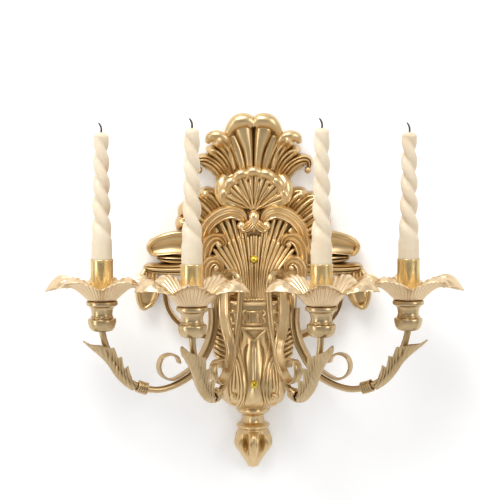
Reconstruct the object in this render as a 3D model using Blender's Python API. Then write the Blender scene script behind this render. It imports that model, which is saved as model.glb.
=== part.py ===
"""Wall sconce candle holder: a cast acanthus backplate that carries four candle arms.

Each arm is a bent steel rod with a flat scroll, a pressed leaf, a wire binding, a turned cup,
a five-petal drip pan and a brass candle socket. The backplate hangs on a strap at the wall.
The wall is the plane y = 0, the sconce stands out towards -Y, and lengths below are millimetres.
"""
import math

import bmesh
import bpy
from mathutils import Vector

MM = 0.001
GAP = 0.3

# Candle and socket, from the common 7/8 inch taper. The candle is straight at its foot and
# winds as two strands above it.
CANDLE_R = 11.1
CANDLE_STRAIGHT = 66.0
CANDLE_TIP_R = 7.6
CANDLE_LOBE = 2.2
CANDLE_STRANDS = 2
CANDLE_PITCH = 45.0
CANDLE_SIDES = 12
CANDLE_ROWS = 18
WICK_R = 0.9
WICK_BORE_R = 1.3
WICK_BORE = 4.0
WICK_HEIGHT = 10.5
SOCKET_R = 11.8
SOCKET_BORE_R = 11.4
SOCKET_TOP = 79.0
SOCKET_FLOOR = 1.0

# Drip pan.
PAN_PETALS = 5
PAN_BASE_R = 15.0
PAN_BASE_Z = 35.8
PAN_SHEET = 1.0
PAN_COLUMNS = 6

# Turned cup under the pan, as (radius, height) from its foot up.
CUP_PROFILE = ((9.0, 3.5), (13.5, 6.5), (15.0, 11.5), (13.6, 16.0), (11.0, 18.5), (11.4, 24.5),
               (13.0, 29.0), (16.5, 32.0), (16.5, 35.5))
CUP_SCREW_BORE_R = 2.3
CUP_ROD_BORE_R = 4.1
CUP_ROD_BORE_TOP = 20.0
CUP_SIDES = 14
SCREW_R = 2.0
SCREW_HEAD_R = 4.0
SCREW_HEAD = 2.2
SCREW_LENGTH = 14.0

# Bent rod of the arms and what is fixed along it.
ROD_R = 3.5
ROD_SIDES = 8
ROD_TOP = 15.0
ROD_END = -15.0
SCROLL_WIDTH = 10.0
SCROLL_SHEET = 2.0
SCROLL_OFFSET = ROD_R + SCROLL_SHEET / 2.0 + GAP + 0.2
CURL_STEPS = 8
CURL_STEP = 40.0
CURL_START = -62.0
WIRE_R = 0.8
WIRE_TURNS = 5
LEAF_SHEET = 1.0
LEAF_LIFT = ROD_R + GAP + 0.5
LEAF_ROLL = 17.0
LEAF_SIDE_ROLL = 2.5
NUT_R = 6.2
NUT_HEIGHT = 4.0

# Backplate, strap and fixings.
PLATE_BACK = -0.5
SEAT_FRONT = -30.0
SEAT_BACK = -22.0
STRAP_WIDTH = 25.0
STRAP_SHEET = 2.0
STRAP_BOTTOM = -72.0
STRAP_TOP = 86.0
WALL_SCREW_HEIGHTS = (36.0, -26.0)
WALL_SCREW_HOLE_R = 2.7
STUD_R = 2.0
STUD_HOLE_R = 2.3
STUDS = {"upper": (73.0, -33.5), "lower": (-59.0, -51.2)}
CAP_NUT_R = 4.3

# One arm: where the cup stands and the way its rod runs to the backplate. Rod and scroll points
# are (distance from the cup axis, height) in the arm's upright plane, which leans by its heading.
ARMS = {
    "outer": {
        "cup": (160.0, -95.0),
        "foot": (38.0, -42.0),
        "candle_top": 211.0,
        "pan_turn": 36.0,
        "binding": 41.0,
        "rod": ((0.0, ROD_TOP), (0.3, 3.0), (4.4, -12.3), (13.1, -30.7), (25.2, -46.7),
                (40.7, -57.0), (60.9, -62.0), (79.0, -59.4), (96.0, -52.2), (107.4, -43.5),
                (116.5, -31.0), (124.0, -17.0), (128.4, -2.0), (129.6, 11.0)),
        "rod_crook": ((41.8, -43.6, 24.0), (42.0, -42.0, 33.5), (42.0, -38.0, 39.5),
                      (42.0, -32.0, 42.0)),
        "scroll_start": (),
        "scroll_contact": (22.0, 6.0, -9.0, -21.0, -32.0, -41.0),
        "curl_centre": (78.5, -37.5),
        "curl_r": 14.5,
    },
    "inner": {
        "cup": (66.0, -150.0),
        "foot": (14.5, -60.0),
        "candle_top": 217.5,
        "pan_turn": 0.0,
        "binding": 46.0,
        "rod": ((0.0, ROD_TOP), (0.3, 3.0), (2.2, -10.1), (8.6, -29.4), (18.0, -47.5),
                (30.7, -59.6), (44.4, -63.4), (55.0, -61.0), (66.5, -54.5), (75.4, -46.5),
                (81.9, -37.0), (87.0, -25.0), (92.0, -11.0), (97.0, 3.3), (101.0, 22.0),
                (103.2, 40.0)),
        "rod_crook": ((15.0, -60.6, 51.0), (18.0, -57.5, 58.0), (23.0, -50.0, 60.5),
                      (27.5, -41.0, 57.0), (29.0, -33.0, 54.0)),
        "scroll_start": ((31.8, -34.5, 40.0), (32.7, -43.5, 29.0), (32.3, -54.0, 14.0),
                         (30.0, -65.5, 1.5), (26.8, -74.5, -9.5)),
        "scroll_contact": (-22.0, -32.0, -40.0, -46.0),
        "curl_centre": (57.0, -37.5),
        "curl_r": 13.0,
    },
}

GOLD = (0.58, 0.40, 0.19)
BRASS = (0.72, 0.47, 0.11)
NUT_BRASS = (0.62, 0.47, 0.05)
STEEL = (0.55, 0.55, 0.53)
WAX = (0.87, 0.78, 0.60)
CHAR = (0.03, 0.025, 0.02)


def clear_scene():
    for thing in list(bpy.data.objects):
        bpy.data.objects.remove(thing)


def make_material(name, colour, roughness, metallic):
    material = bpy.data.materials.new(name)
    material.use_nodes = True
    shader = material.node_tree.nodes["Principled BSDF"]
    shader.inputs["Base Color"].default_value = (*colour, 1.0)
    shader.inputs["Roughness"].default_value = roughness
    shader.inputs["Metallic"].default_value = metallic
    material.diffuse_color = (*colour, 1.0)
    return material


def make_object(name, points, faces, finish, origin=(0.0, 0.0, 0.0), sharp=40.0):
    """Closed mesh from points in millimetres, with its normals turned outwards."""
    place = Vector(origin)
    mesh = bpy.data.meshes.new(name)
    mesh.from_pydata([(Vector(p) - place) * MM for p in points], [], faces)
    shell = bmesh.new()
    shell.from_mesh(mesh)
    bmesh.ops.recalc_face_normals(shell, faces=shell.faces)
    shell.to_mesh(mesh)
    shell.free()
    mesh.shade_smooth()
    mesh.set_sharp_from_angle(angle=math.radians(sharp))
    thing = bpy.data.objects.new(name, mesh)
    thing.location = place * MM
    bpy.context.scene.collection.objects.link(thing)
    if finish:
        mesh.materials.append(make_material(name + "_finish", *finish))
    return thing


def loft(rings, closed_ends=True):
    """Faces that join equal rings in turn; the last ring meets the first when ends stay open."""
    count = len(rings[0])
    points = [p for ring in rings for p in ring]
    faces = []
    spans = len(rings) - 1 if closed_ends else len(rings)
    for i in range(spans):
        a = i * count
        b = (i + 1) % len(rings) * count
        for j in range(count):
            k = (j + 1) % count
            faces.append((a + j, a + k, b + k, b + j))
    if closed_ends:
        faces.append(tuple(range(count - 1, -1, -1)))
        faces.append(tuple(range((len(rings) - 1) * count, len(rings) * count)))
    return points, faces


def circle(centre, radius, sides, axis="Z", turn=0.0):
    cx, cy, cz = centre
    ring = []
    for j in range(sides):
        angle = 2.0 * math.pi * (j + turn) / sides
        across = radius * math.cos(angle)
        along = radius * math.sin(angle)
        ring.append((cx + across, cy + along, cz) if axis == "Z" else (cx + across, cy, cz + along))
    return ring


def turned(name, centre, profile, sides, finish, axis="Z", origin=None, ring=False):
    """Solid of revolution from (radius, place along the axis) pairs; ring closes it on itself."""
    cx, cy = centre
    rings = []
    for radius, place in profile:
        middle = (cx, cy, place) if axis == "Z" else (cx, place, cy)
        rings.append(circle(middle, radius, sides, axis))
    points, faces = loft(rings, closed_ends=not ring)
    return make_object(name, points, faces, finish, origin or (0.0, 0.0, 0.0))


def smooth_route(controls, count):
    """Evenly spaced points on a Catmull-Rom curve through the control points."""
    knots = [Vector(p) for p in controls]
    knots = [2.0 * knots[0] - knots[1], *knots, 2.0 * knots[-1] - knots[-2]]
    fine = []
    for a, b, c, d in zip(knots, knots[1:], knots[2:], knots[3:]):
        for i in range(12):
            t = i / 12.0
            fine.append(0.5 * (2.0 * b + (c - a) * t + (2.0 * a - 5.0 * b + 4.0 * c - d) * t * t
                               + (3.0 * b - a - 3.0 * c + d) * t ** 3))
    fine.append(knots[-2].copy())
    lengths = [0.0]
    for a, b in zip(fine, fine[1:]):
        lengths.append(lengths[-1] + (b - a).length)
    route = []
    at = 0
    for i in range(count):
        wanted = lengths[-1] * i / (count - 1)
        while at < len(fine) - 2 and lengths[at + 1] < wanted:
            at += 1
        share = (wanted - lengths[at]) / (lengths[at + 1] - lengths[at])
        route.append(fine[at].lerp(fine[at + 1], share))
    return route


def route_frames(route, start_normal):
    """Tangent, normal and side at each point, carried along the route without twist."""
    frames = []
    normal = Vector(start_normal)
    for i, point in enumerate(route):
        ahead = route[min(i + 1, len(route) - 1)]
        behind = route[max(i - 1, 0)]
        tangent = (ahead - behind).normalized()
        normal = (normal - tangent * normal.dot(tangent)).normalized()
        frames.append((point, tangent, normal, tangent.cross(normal)))
    return frames


def section_rings(frames, section):
    """Places a flat section, given as (along normal, along side) pairs, on each frame."""
    return [[point + normal * a + side * b for a, b in section]
            for point, _, normal, side in frames]


def round_section(radius, sides):
    turns = [2.0 * math.pi * (j + 0.5) / sides for j in range(sides)]
    return [(radius * math.cos(turn), radius * math.sin(turn)) for turn in turns]


class Arm:
    """One arm's place: its side, its upright plane and the route of its rod."""

    def __init__(self, kind, hand):
        self.spec = ARMS[kind]
        self.hand = 1.0 if hand == "right" else -1.0
        self.name = f"{kind}_{hand}"
        cup = Vector(self.spec["cup"])
        inward = (Vector(self.spec["foot"]) - cup).normalized()
        self.cup = self.mirrored(Vector((cup.x, cup.y, 0.0)))
        self.inward = self.mirrored(Vector((inward.x, inward.y, 0.0)))
        self.across = Vector((-self.inward.y, self.inward.x, 0.0))

    def mirrored(self, point):
        return Vector((self.hand * point[0], point[1], point[2]))

    def in_plane(self, distance, height):
        return self.cup + self.inward * distance + Vector((0.0, 0.0, height))

    def rod_route(self, count):
        """Down from the cup, round the bend, over the crook and straight into the backplate."""
        controls = [self.in_plane(*pair) for pair in self.spec["rod"]]
        controls += [self.mirrored(point) for point in self.spec["rod_crook"]]
        route = smooth_route(controls, count)
        for depth in (SEAT_FRONT - 1.0, ROD_END):
            route.append(Vector((route[count - 1].x, depth, route[count - 1].z)))
        return route

    def rod_frames(self, count):
        return route_frames(self.rod_route(count), self.inward)

    def scroll_route(self, count):
        """From the backplate or the rod down the inside of the bend, then round the curl."""
        controls = [self.mirrored(point) for point in self.spec["scroll_start"]]
        frames = self.rod_frames(200)
        lowest = min(range(200), key=lambda i: frames[i][0].z)
        leg = frames[lowest:]
        for height in self.spec["scroll_contact"]:
            point, _, normal, _ = min(leg, key=lambda frame: abs(frame[0].z - height))
            controls.append(point + normal * SCROLL_OFFSET)
        middle = self.spec["curl_centre"]
        for i in range(CURL_STEPS):
            angle = math.radians(CURL_START - CURL_STEP * i)
            radius = self.spec["curl_r"] * (1.0 - 0.12 * max(0, i - 4))
            controls.append(self.in_plane(middle[0] + radius * math.cos(angle),
                                          middle[1] + radius * math.sin(angle)))
        return smooth_route(controls, count)


def build_rod(arm):
    frames = arm.rod_frames(28)
    points, faces = loft(section_rings(frames, round_section(ROD_R, ROD_SIDES)))
    make_object(arm.name + "_arm", points, faces, (GOLD, 0.34, 0.95))
    end = frames[-1][0]
    nut_front = SEAT_BACK + GAP
    bore = (ROD_R + GAP) / math.cos(math.pi / 6.0)
    rings = []
    for radius, place in ((NUT_R, nut_front), (NUT_R, nut_front + NUT_HEIGHT),
                          (bore, nut_front + NUT_HEIGHT), (bore, nut_front)):
        rings.append(circle((end.x, place, end.z), radius, 6, axis="Y"))
    points, faces = loft(rings, closed_ends=False)
    make_object(arm.name + "_arm_nut", points, faces, (STEEL, 0.4, 0.9), sharp=20.0)


def build_scroll(arm):
    route = arm.scroll_route(26)
    frames = route_frames(route, arm.across)
    wide = SCROLL_WIDTH / 2.0
    thick = SCROLL_SHEET / 2.0
    section = [(wide, -thick), (wide, thick), (-wide, thick), (-wide, -thick)]
    points, faces = loft(section_rings(frames, section))
    make_object(arm.name + "_scroll", points, faces, (GOLD, 0.34, 0.95))


def build_binding(arm):
    """Turns of wire round the rod, as one ribbed sleeve."""
    fine = arm.rod_frames(200)
    wanted = arm.spec["binding"]
    start = min(range(100), key=lambda i: abs((fine[i][0] - arm.cup).dot(arm.inward) - wanted))
    step = (fine[1][0] - fine[0][0]).length
    inner = ROD_R + GAP + 0.1
    rings = []
    for i in range(2 * WIRE_TURNS + 1):
        point, _, normal, side = fine[start + round(i * WIRE_R / step)]
        radius = inner + (2.0 * WIRE_R if i % 2 else 0.5 * WIRE_R)
        rings.append([point + normal * a + side * b for a, b in round_section(radius, 10)])
    for i in (2 * WIRE_TURNS, WIRE_TURNS, 0):
        point, _, normal, side = fine[start + round(i * WIRE_R / step)]
        rings.append([point + normal * a + side * b for a, b in round_section(inner, 10)])
    points, faces = loft(rings, closed_ends=False)
    make_object(arm.name + "_binding", points, faces, (GOLD, 0.34, 0.95))


def build_leaf(arm):
    """Pressed leaf that hugs the outside of the rod and rolls away from it at its tip."""
    fine = arm.rod_frames(200)
    first = min(range(100), key=lambda i: abs((fine[i][0] - arm.cup).dot(arm.inward)
                                              - arm.spec["binding"] + 4.0))
    last = min(range(100), key=lambda i: abs(fine[i][0].z + 1.0))
    rows = 13
    columns = 7
    skins = ([], [])
    for i in range(rows):
        t = i / (rows - 1)
        point, _, normal, side = fine[round(first + (last - first) * t)]
        roll = LEAF_ROLL * max(0.0, (t - 0.5) / 0.5) ** 1.8
        lobe = 0.5 + 0.5 * math.cos(2.0 * math.pi * 3.0 * t)
        spread = math.radians(35.0 + 95.0 * math.sin(math.pi * min(1.0, t * 1.05)) ** 0.7)
        spread *= 0.8 + 0.2 * lobe
        for skin, lift in zip(skins, (LEAF_LIFT, LEAF_LIFT + LEAF_SHEET)):
            for j in range(columns):
                turn = spread * (2.0 * j / (columns - 1) - 1.0)
                side_roll = LEAF_SIDE_ROLL * abs(turn / math.pi)
                skin.append(point - normal * (math.cos(turn) * lift + side_roll + roll)
                            + side * math.sin(turn) * (lift + side_roll))
    points, faces = sheet_shell(skins[0], skins[1], rows, columns)
    make_object(arm.name + "_leaf", points, faces, (GOLD, 0.36, 0.95), sharp=60.0)


def sheet_shell(inner, outer, rows, columns):
    """Closes two equal grids of points into one thin solid."""
    size = rows * columns
    faces = []
    for i in range(rows - 1):
        for j in range(columns - 1):
            a = i * columns + j
            faces.append((a, a + 1, a + columns + 1, a + columns))
            faces.append((size + a + columns, size + a + columns + 1, size + a + 1, size + a))
    border = [j for j in range(columns - 1)]
    border += [i * columns + columns - 1 for i in range(rows - 1)]
    border += [(rows - 1) * columns + j for j in range(columns - 1, 0, -1)]
    border += [i * columns for i in range(rows - 1, 0, -1)]
    for a, b in zip(border, border[1:] + border[:1]):
        faces.append((b, a, size + a, size + b))
    return inner + outer, faces


def build_cup(arm):
    profile = [*CUP_PROFILE, (CUP_SCREW_BORE_R, CUP_PROFILE[-1][1]),
               (CUP_SCREW_BORE_R, CUP_ROD_BORE_TOP), (CUP_ROD_BORE_R, CUP_ROD_BORE_TOP),
               (CUP_ROD_BORE_R, CUP_PROFILE[0][1])]
    turned(arm.name + "_cup", arm.cup.xy, profile, CUP_SIDES, (GOLD, 0.3, 0.95), ring=True)


def petal_share(angle, turn):
    """1 along the middle of a petal and 0 in the notch between two petals."""
    wave = 0.5 + 0.5 * math.cos(PAN_PETALS * (angle - math.radians(turn)))
    return wave ** 0.7


def pan_point(v, angle, turn, lift):
    """Point of the pan's sheet: v runs from its base to its rim, angle from the front round."""
    front = max(0.0, math.cos(angle))
    droop = 1.0 - front ** 1.5
    petal = [(PAN_BASE_R, 36.0), (24.0, 46.5), (34.0, 56.5), (43.0 + droop, 61.5 + 3.5 * droop),
             (47.0 + 7.0 * droop, 61.8 + 0.5 * droop), (50.0 + 12.0 * droop, 61.0 - 8.0 * droop)]
    notch = [(PAN_BASE_R, 36.0), (20.0, 41.0), (25.0, 45.5), (29.5, 48.5), (33.0, 50.0),
             (36.0, 50.0)]
    share = petal_share(angle, turn)
    place = v * (len(petal) - 1)
    low = min(int(place), len(petal) - 2)
    part = place - low
    pair = []
    for k in (0, 1):
        a = petal[low][k] * (1.0 - part) + petal[low + 1][k] * part
        b = notch[low][k] * (1.0 - part) + notch[low + 1][k] * part
        pair.append(a * share + b * (1.0 - share))
    return pair[0], pair[1] + lift


def build_pan(arm):
    """Sheet from the screw hole up its inside to the rim and back down its outside."""
    rings = [pan_ring(arm, fixed=(CUP_SCREW_BORE_R, PAN_BASE_Z + PAN_SHEET))]
    rings += [pan_ring(arm, v, PAN_SHEET * 0.8) for v in (0.0, 0.4, 0.6, 1.0)]
    rings += [pan_ring(arm, v, PAN_SHEET * -0.2) for v in (1.0, 0.6, 0.4, 0.0)]
    rings.append(pan_ring(arm, fixed=(CUP_SCREW_BORE_R, PAN_BASE_Z)))
    points, faces = loft(rings, closed_ends=False)
    make_object(arm.name + "_drip_pan", points, faces, (GOLD, 0.3, 0.95), sharp=60.0)


def pan_ring(arm, v=0.0, lift=0.0, fixed=None):
    """Ring of the pan at v with its height raised by lift, or at a fixed radius and height."""
    ring = []
    columns = PAN_PETALS * PAN_COLUMNS
    for j in range(columns):
        angle = 2.0 * math.pi * j / columns
        radius, height = fixed or pan_point(v, angle, arm.spec["pan_turn"], lift)
        ring.append((arm.cup.x + radius * math.sin(angle), arm.cup.y - radius * math.cos(angle),
                     height))
    return ring


def build_socket(arm):
    floor = PAN_BASE_Z + PAN_SHEET + GAP
    profile = [(CUP_SCREW_BORE_R, floor), (SOCKET_R, floor), (SOCKET_R, SOCKET_TOP),
               (SOCKET_BORE_R, SOCKET_TOP), (SOCKET_BORE_R, floor + SOCKET_FLOOR),
               (CUP_SCREW_BORE_R, floor + SOCKET_FLOOR)]
    turned(arm.name + "_socket", arm.cup.xy, profile, 16, (BRASS, 0.22, 1.0), ring=True)
    seat = floor + SOCKET_FLOOR + GAP
    screw = [(SCREW_R, seat - SCREW_LENGTH), (SCREW_R, seat), (SCREW_HEAD_R, seat),
             (SCREW_HEAD_R, seat + 1.2), (SCREW_HEAD_R - 1.4, seat + SCREW_HEAD)]
    turned(arm.name + "_socket_screw", arm.cup.xy, screw, 8, (STEEL, 0.35, 1.0))
    return seat + SCREW_HEAD + GAP


def build_candle(arm, foot):
    """Taper with a straight foot and strands that wind round it above."""
    top = arm.spec["candle_top"]
    place = Vector((arm.cup.x, arm.cup.y, foot))
    shoulder = foot + CANDLE_STRAIGHT
    rings = [circle((arm.cup.x, arm.cup.y, foot), CANDLE_R, CANDLE_SIDES)]
    for i in range(CANDLE_ROWS):
        share = i / (CANDLE_ROWS - 1)
        rings.append(strand_ring(arm, shoulder + (top - 3.0 - shoulder) * share, share))
    rings.append(circle((arm.cup.x, arm.cup.y, top), CANDLE_TIP_R * 0.55, CANDLE_SIDES))
    rings.append(circle((arm.cup.x, arm.cup.y, top), WICK_BORE_R, CANDLE_SIDES))
    rings.append(circle((arm.cup.x, arm.cup.y, top - WICK_BORE), WICK_BORE_R, CANDLE_SIDES))
    points, faces = loft(rings)
    make_object(arm.name + "_candle", points, faces, (WAX, 0.42, 0.0), place, sharp=70.0)
    wick = []
    for i in range(4):
        lean = 1.6 * (i / 3.0) ** 2
        height = top - WICK_BORE + GAP + (WICK_HEIGHT + WICK_BORE - GAP) * i / 3.0
        wick.append(circle((arm.cup.x + lean, arm.cup.y, height), WICK_R * (1.0 - 0.1 * i), 6))
    points, faces = loft(wick)
    make_object(arm.name + "_wick", points, faces, (CHAR, 0.9, 0.0), place)


def strand_ring(arm, height, share):
    """Ring across the strands, share of the way from the straight foot to the tip."""
    ring = []
    radius = CANDLE_R + (CANDLE_TIP_R - CANDLE_R) * share
    depth = CANDLE_LOBE * min(1.0, share * 6.0)
    twist = 2.0 * math.pi * height / CANDLE_PITCH
    for j in range(CANDLE_SIDES):
        angle = 2.0 * math.pi * j / CANDLE_SIDES
        strand = abs(math.cos(CANDLE_STRANDS / 2.0 * (angle + twist)))
        reach = radius - depth * (1.0 - strand)
        ring.append((arm.cup.x + reach * math.cos(angle), arm.cup.y + reach * math.sin(angle),
                     height))
    return ring


def closed_curve(controls, samples):
    """Smooth closed outline through its corner points, samples points to each span."""
    outline = []
    count = len(controls)
    for i in range(count):
        a, b, c, d = (Vector(controls[(i + k - 1) % count]) for k in range(4))
        for s in range(samples):
            t = s / samples
            outline.append(0.5 * (2.0 * b + (c - a) * t + (2.0 * a - 5.0 * b + 4.0 * c - d) * t * t
                                  + (3.0 * b - a - 3.0 * c + d) * t ** 3))
    return outline


def pillow(name, controls, front, edge, back, samples=1):
    """Cast lobe: a smooth outline raised from an upright edge to a rounded front."""
    outline = closed_curve(controls, samples)
    middle = sum(outline, Vector((0.0, 0.0))) / len(outline)
    rings = []
    for inset, depth in ((1.0, back), (1.0, edge), (0.84, edge + 0.62 * (front - edge)),
                         (0.5, front)):
        ring = [middle + (p - middle) * inset for p in outline]
        rings.append([(p.x, depth, p.y) for p in ring])
    points, faces = loft(rings)
    return make_object(name, points, faces, None)


def mirrored_outline(half):
    """Full outline from its right half, given from the top on the centre line to the bottom."""
    return [*half, *((-x, z) for x, z in reversed(half) if x > 0.0)]


def barrel(name, rows, back, segments=12):
    """Half-round casting from rows of (height, half width, depth)."""
    rings = []
    for height, width, depth in rows:
        ring = [(width, back, height)]
        for j in range(segments + 1):
            turn = math.pi * j / segments
            ring.append((width * math.cos(turn), PLATE_BACK - 1.0 - depth * math.sin(turn), height))
        ring.append((-width, back, height))
        rings.append(ring)
    points, faces = loft(rings)
    return make_object(name, points, faces, None)


def limb(name, controls, radius, count, sides=8):
    """Round scroll swept through (x, y, z) points, thinner towards its last point."""
    frames = route_frames(smooth_route(controls, count), (0.0, -1.0, 0.0))
    rings = []
    for i, (point, _, normal, side) in enumerate(frames):
        size = radius * (1.0 - 0.35 * i / (count - 1))
        rings.append([point + normal * a + side * b for a, b in round_section(size, sides)])
    points, faces = loft(rings)
    return make_object(name, points, faces, None)


def box(name, low, high):
    corners = [(x, y, z) for x in (low[0], high[0]) for y in (low[1], high[1])
               for z in (low[2], high[2])]
    faces = [(0, 1, 3, 2), (4, 6, 7, 5), (0, 4, 5, 1), (2, 3, 7, 6), (0, 2, 6, 4), (1, 5, 7, 3)]
    return make_object(name, corners, faces, None)


# Lobes of the casting: outline half or side outline as (x, z), front depth and edge depth.
CENTRE_LOBES = {
    "core": (((0.0, 160.0), (33.0, 152.0), (44.0, 140.0), (66.0, 126.0), (70.0, 108.0),
              (58.0, 92.0), (52.0, 70.0), (50.0, 40.0), (44.0, 4.0), (34.0, -30.0),
              (0.0, -40.0)), -27.0, -9.0),
    "crest": (((0.0, 225.5), (11.0, 229.0), (24.0, 222.0), (29.0, 208.0), (25.0, 188.0),
               (18.0, 165.0), (0.0, 140.0)), -34.0, -12.0),
    "collar": (((0.0, 173.0), (14.0, 171.0), (26.0, 167.0), (35.0, 155.0), (36.0, 140.0),
                (24.0, 129.0), (0.0, 123.0)), -42.0, -14.0),
    "reeds": (((0.0, 118.0), (22.0, 112.0), (34.0, 98.0), (29.0, 70.0), (21.0, 45.0),
               (17.0, 20.0), (0.0, 15.0)), -33.0, -20.0),
    "boss": (((0.0, 127.0), (13.0, 122.0), (18.0, 108.0), (8.0, 100.0), (0.0, 102.0)),
             -43.0, -20.0),
}
SIDE_LOBES = {
    "crest_second": (((18.0, 160.0), (27.0, 190.0), (38.0, 204.0), (50.0, 206.0),
                      (47.0, 193.0), (38.0, 172.0), (28.0, 150.0)), -28.0, -10.0),
    "crest_third": (((24.0, 150.0), (36.0, 177.0), (46.0, 190.0), (52.0, 187.0),
                     (44.0, 168.0), (32.0, 144.0)), -24.0, -8.0),
    "crest_fourth": (((26.0, 146.0), (39.0, 167.0), (50.0, 177.0), (61.0, 179.0),
                      (63.0, 170.0), (57.0, 164.0), (50.0, 168.0), (43.0, 160.0),
                      (34.0, 140.0)), -22.0, -8.0),
    "shoulder": (((34.0, 140.0), (54.0, 143.0), (69.0, 134.0), (81.0, 118.0), (77.0, 101.0),
                  (64.0, 92.0), (44.0, 104.0)), -18.0, -7.0),
    "upper_wing": (((46.0, 80.0), (66.0, 97.0), (80.0, 100.0), (101.0, 95.0), (114.0, 84.0),
                    (108.0, 75.0), (88.0, 69.0), (60.0, 60.0)), -24.0, -8.0),
    "stem": (((42.0, 46.0), (80.0, 50.0), (104.0, 52.0), (120.0, 60.0), (116.0, 67.0),
              (96.0, 70.0), (70.0, 68.0), (42.0, 74.0)), -18.0, -8.0),
    "lower_wing": (((100.0, 56.0), (117.0, 63.0), (127.0, 45.0), (126.0, 26.0),
                    (120.0, 15.0), (108.0, 22.0), (102.0, 38.0)), -24.0, -8.0),
    "feather": (((30.0, 12.0), (44.0, 8.0), (48.0, -8.0), (44.0, -28.0), (36.0, -52.0),
                 (20.0, -60.0)), -24.0, -8.0),
}
VASE = ((4.0, 19.0, 44.0), (-14.0, 20.0, 44.0), (-34.0, 25.0, 47.0), (-56.0, 31.0, 49.0),
        (-76.0, 35.0, 46.0), (-85.0, 30.0, 38.0), (-91.0, 17.0, 26.0))
FINIAL = ((-84.0, 14.0, 23.0), (-90.0, 17.5, 28.0), (-95.0, 17.0, 27.0), (-99.0, 12.0, 20.0),
          (-106.0, 12.0, 20.0), (-109.0, 17.5, 27.0), (-113.0, 17.0, 27.0), (-120.0, 18.5, 31.0),
          (-128.0, 19.5, 32.0), (-140.0, 15.0, 26.0), (-150.0, 8.0, 16.0), (-155.5, 4.0, 9.0))
BIG_SCROLL = ((6.0, -30.0, 104.0), (9.0, -30.0, 118.0), (22.0, -28.0, 126.0),
              (40.0, -26.0, 118.0), (53.0, -24.0, 98.0), (57.0, -22.0, 76.0),
              (52.0, -20.0, 56.0))
OPEN_SCROLL = ((88.0, -12.0, 60.0), (98.0, -12.0, 44.0), (97.5, -12.0, 26.0),
               (91.0, -12.0, 11.0), (79.0, -13.0, 0.0), (64.0, -14.0, -8.0),
               (50.0, -15.0, -12.0), (40.0, -15.0, -8.0))


def build_backplate():
    """Every lobe is joined to the core, then the back is cut flat and hollowed."""
    lobes = bpy.data.collections.new("backplate_lobes")
    cuts = bpy.data.collections.new("backplate_cuts")
    for group in (lobes, cuts):
        bpy.context.scene.collection.children.link(group)
    back = 2.0
    parts = []
    for name, (half, front, edge) in CENTRE_LOBES.items():
        back += 0.37
        parts.append(pillow(name, mirrored_outline(half), front, edge, back))
    for name, (outline, front, edge) in SIDE_LOBES.items():
        for hand in (1.0, -1.0):
            back += 0.37
            shape = [(hand * x, z) for x, z in outline]
            parts.append(pillow(f"{name}_{'right' if hand > 0 else 'left'}", shape, front, edge,
                                back))
    parts.append(barrel("vase", VASE, 1.1))
    parts.append(barrel("finial", FINIAL, 0.7))
    parts.append(box("belt", (-26.6, -45.0, -2.0), (26.6, 0.9, 30.0)))
    for hand in (1.0, -1.0):
        name = "right" if hand > 0 else "left"
        low, high = sorted((hand * 18.7, hand * 52.3))
        parts.append(box("arm_seat_" + name, (low, SEAT_FRONT, 33.0), (high, 1.3, 65.0)))
        sides = [[(hand * x, y, z) for x, y, z in route] for route in (BIG_SCROLL, OPEN_SCROLL)]
        parts.append(limb("big_scroll_" + name, sides[0], 7.5, 10))
        parts.append(limb("open_scroll_" + name, sides[1], 6.5, 14))
    body = parts[0]
    body.name = "backplate"
    body.data.name = "backplate"
    for part in parts[1:]:
        hide_helper(part, lobes)
    tools = [box("back_cut", (-150.0, PLATE_BACK, -180.0), (150.0, 20.0, 250.0)),
             box("seat_hollow", (-48.9, SEAT_BACK, 35.1), (48.9, 10.0, 62.3)),
             box("strap_hollow", (-20.0, -21.2, -74.0), (20.0, 12.0, 90.0)),
             box("vase_hollow", (-13.0, -36.0, -70.6), (13.0, 8.0, 0.8))]
    for name, (height, _) in STUDS.items():
        tools.append(turned(name + "_stud_hole", (0.0, height),
                            ((STUD_HOLE_R, -70.0), (STUD_HOLE_R, 15.0)), 12, None, axis="Y"))
    for kind, spec in ARMS.items():
        for hand in (1.0, -1.0):
            end = spec["rod_crook"][-1]
            tools.append(turned(f"{kind}_hole_{hand:.0f}", (hand * end[0], end[2]),
                                ((ROD_R + GAP + 0.1, -40.0), (ROD_R + GAP + 0.1, 15.0)), 12, None,
                                axis="Y"))
    for tool in tools:
        hide_helper(tool, cuts)
    add_boolean(body, "UNION", lobes)
    add_boolean(body, "DIFFERENCE", cuts)
    body.data.materials.append(make_material("backplate_finish", GOLD, 0.36, 0.95))


def hide_helper(thing, group):
    thing.hide_render = True
    thing.display_type = "WIRE"
    for home in list(thing.users_collection):
        home.objects.unlink(thing)
    group.objects.link(thing)


def add_boolean(body, operation, group):
    change = body.modifiers.new(group.name, "BOOLEAN")
    change.operation = operation
    change.operand_type = "COLLECTION"
    change.collection = group
    change.solver = "EXACT"


def build_strap():
    """Steel strap at the wall, with two wall-screw holes and two stud holes."""
    wide = STRAP_WIDTH / 2.0
    strap = box("wall_strap", (-wide, -STRAP_SHEET, STRAP_BOTTOM), (wide, 0.0, STRAP_TOP))
    strap.data.materials.append(make_material("wall_strap_finish", STEEL, 0.45, 0.9))
    holes = bpy.data.collections.new("strap_holes")
    bpy.context.scene.collection.children.link(holes)
    places = [(height, WALL_SCREW_HOLE_R) for height in WALL_SCREW_HEIGHTS]
    places += [(height, STUD_HOLE_R) for height, _ in STUDS.values()]
    for i, (height, radius) in enumerate(places):
        tool = turned(f"strap_hole_{i}", (0.0, height), ((radius, -6.0), (radius, 4.0)), 12, None,
                      axis="Y")
        hide_helper(tool, holes)
    add_boolean(strap, "DIFFERENCE", holes)


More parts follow.
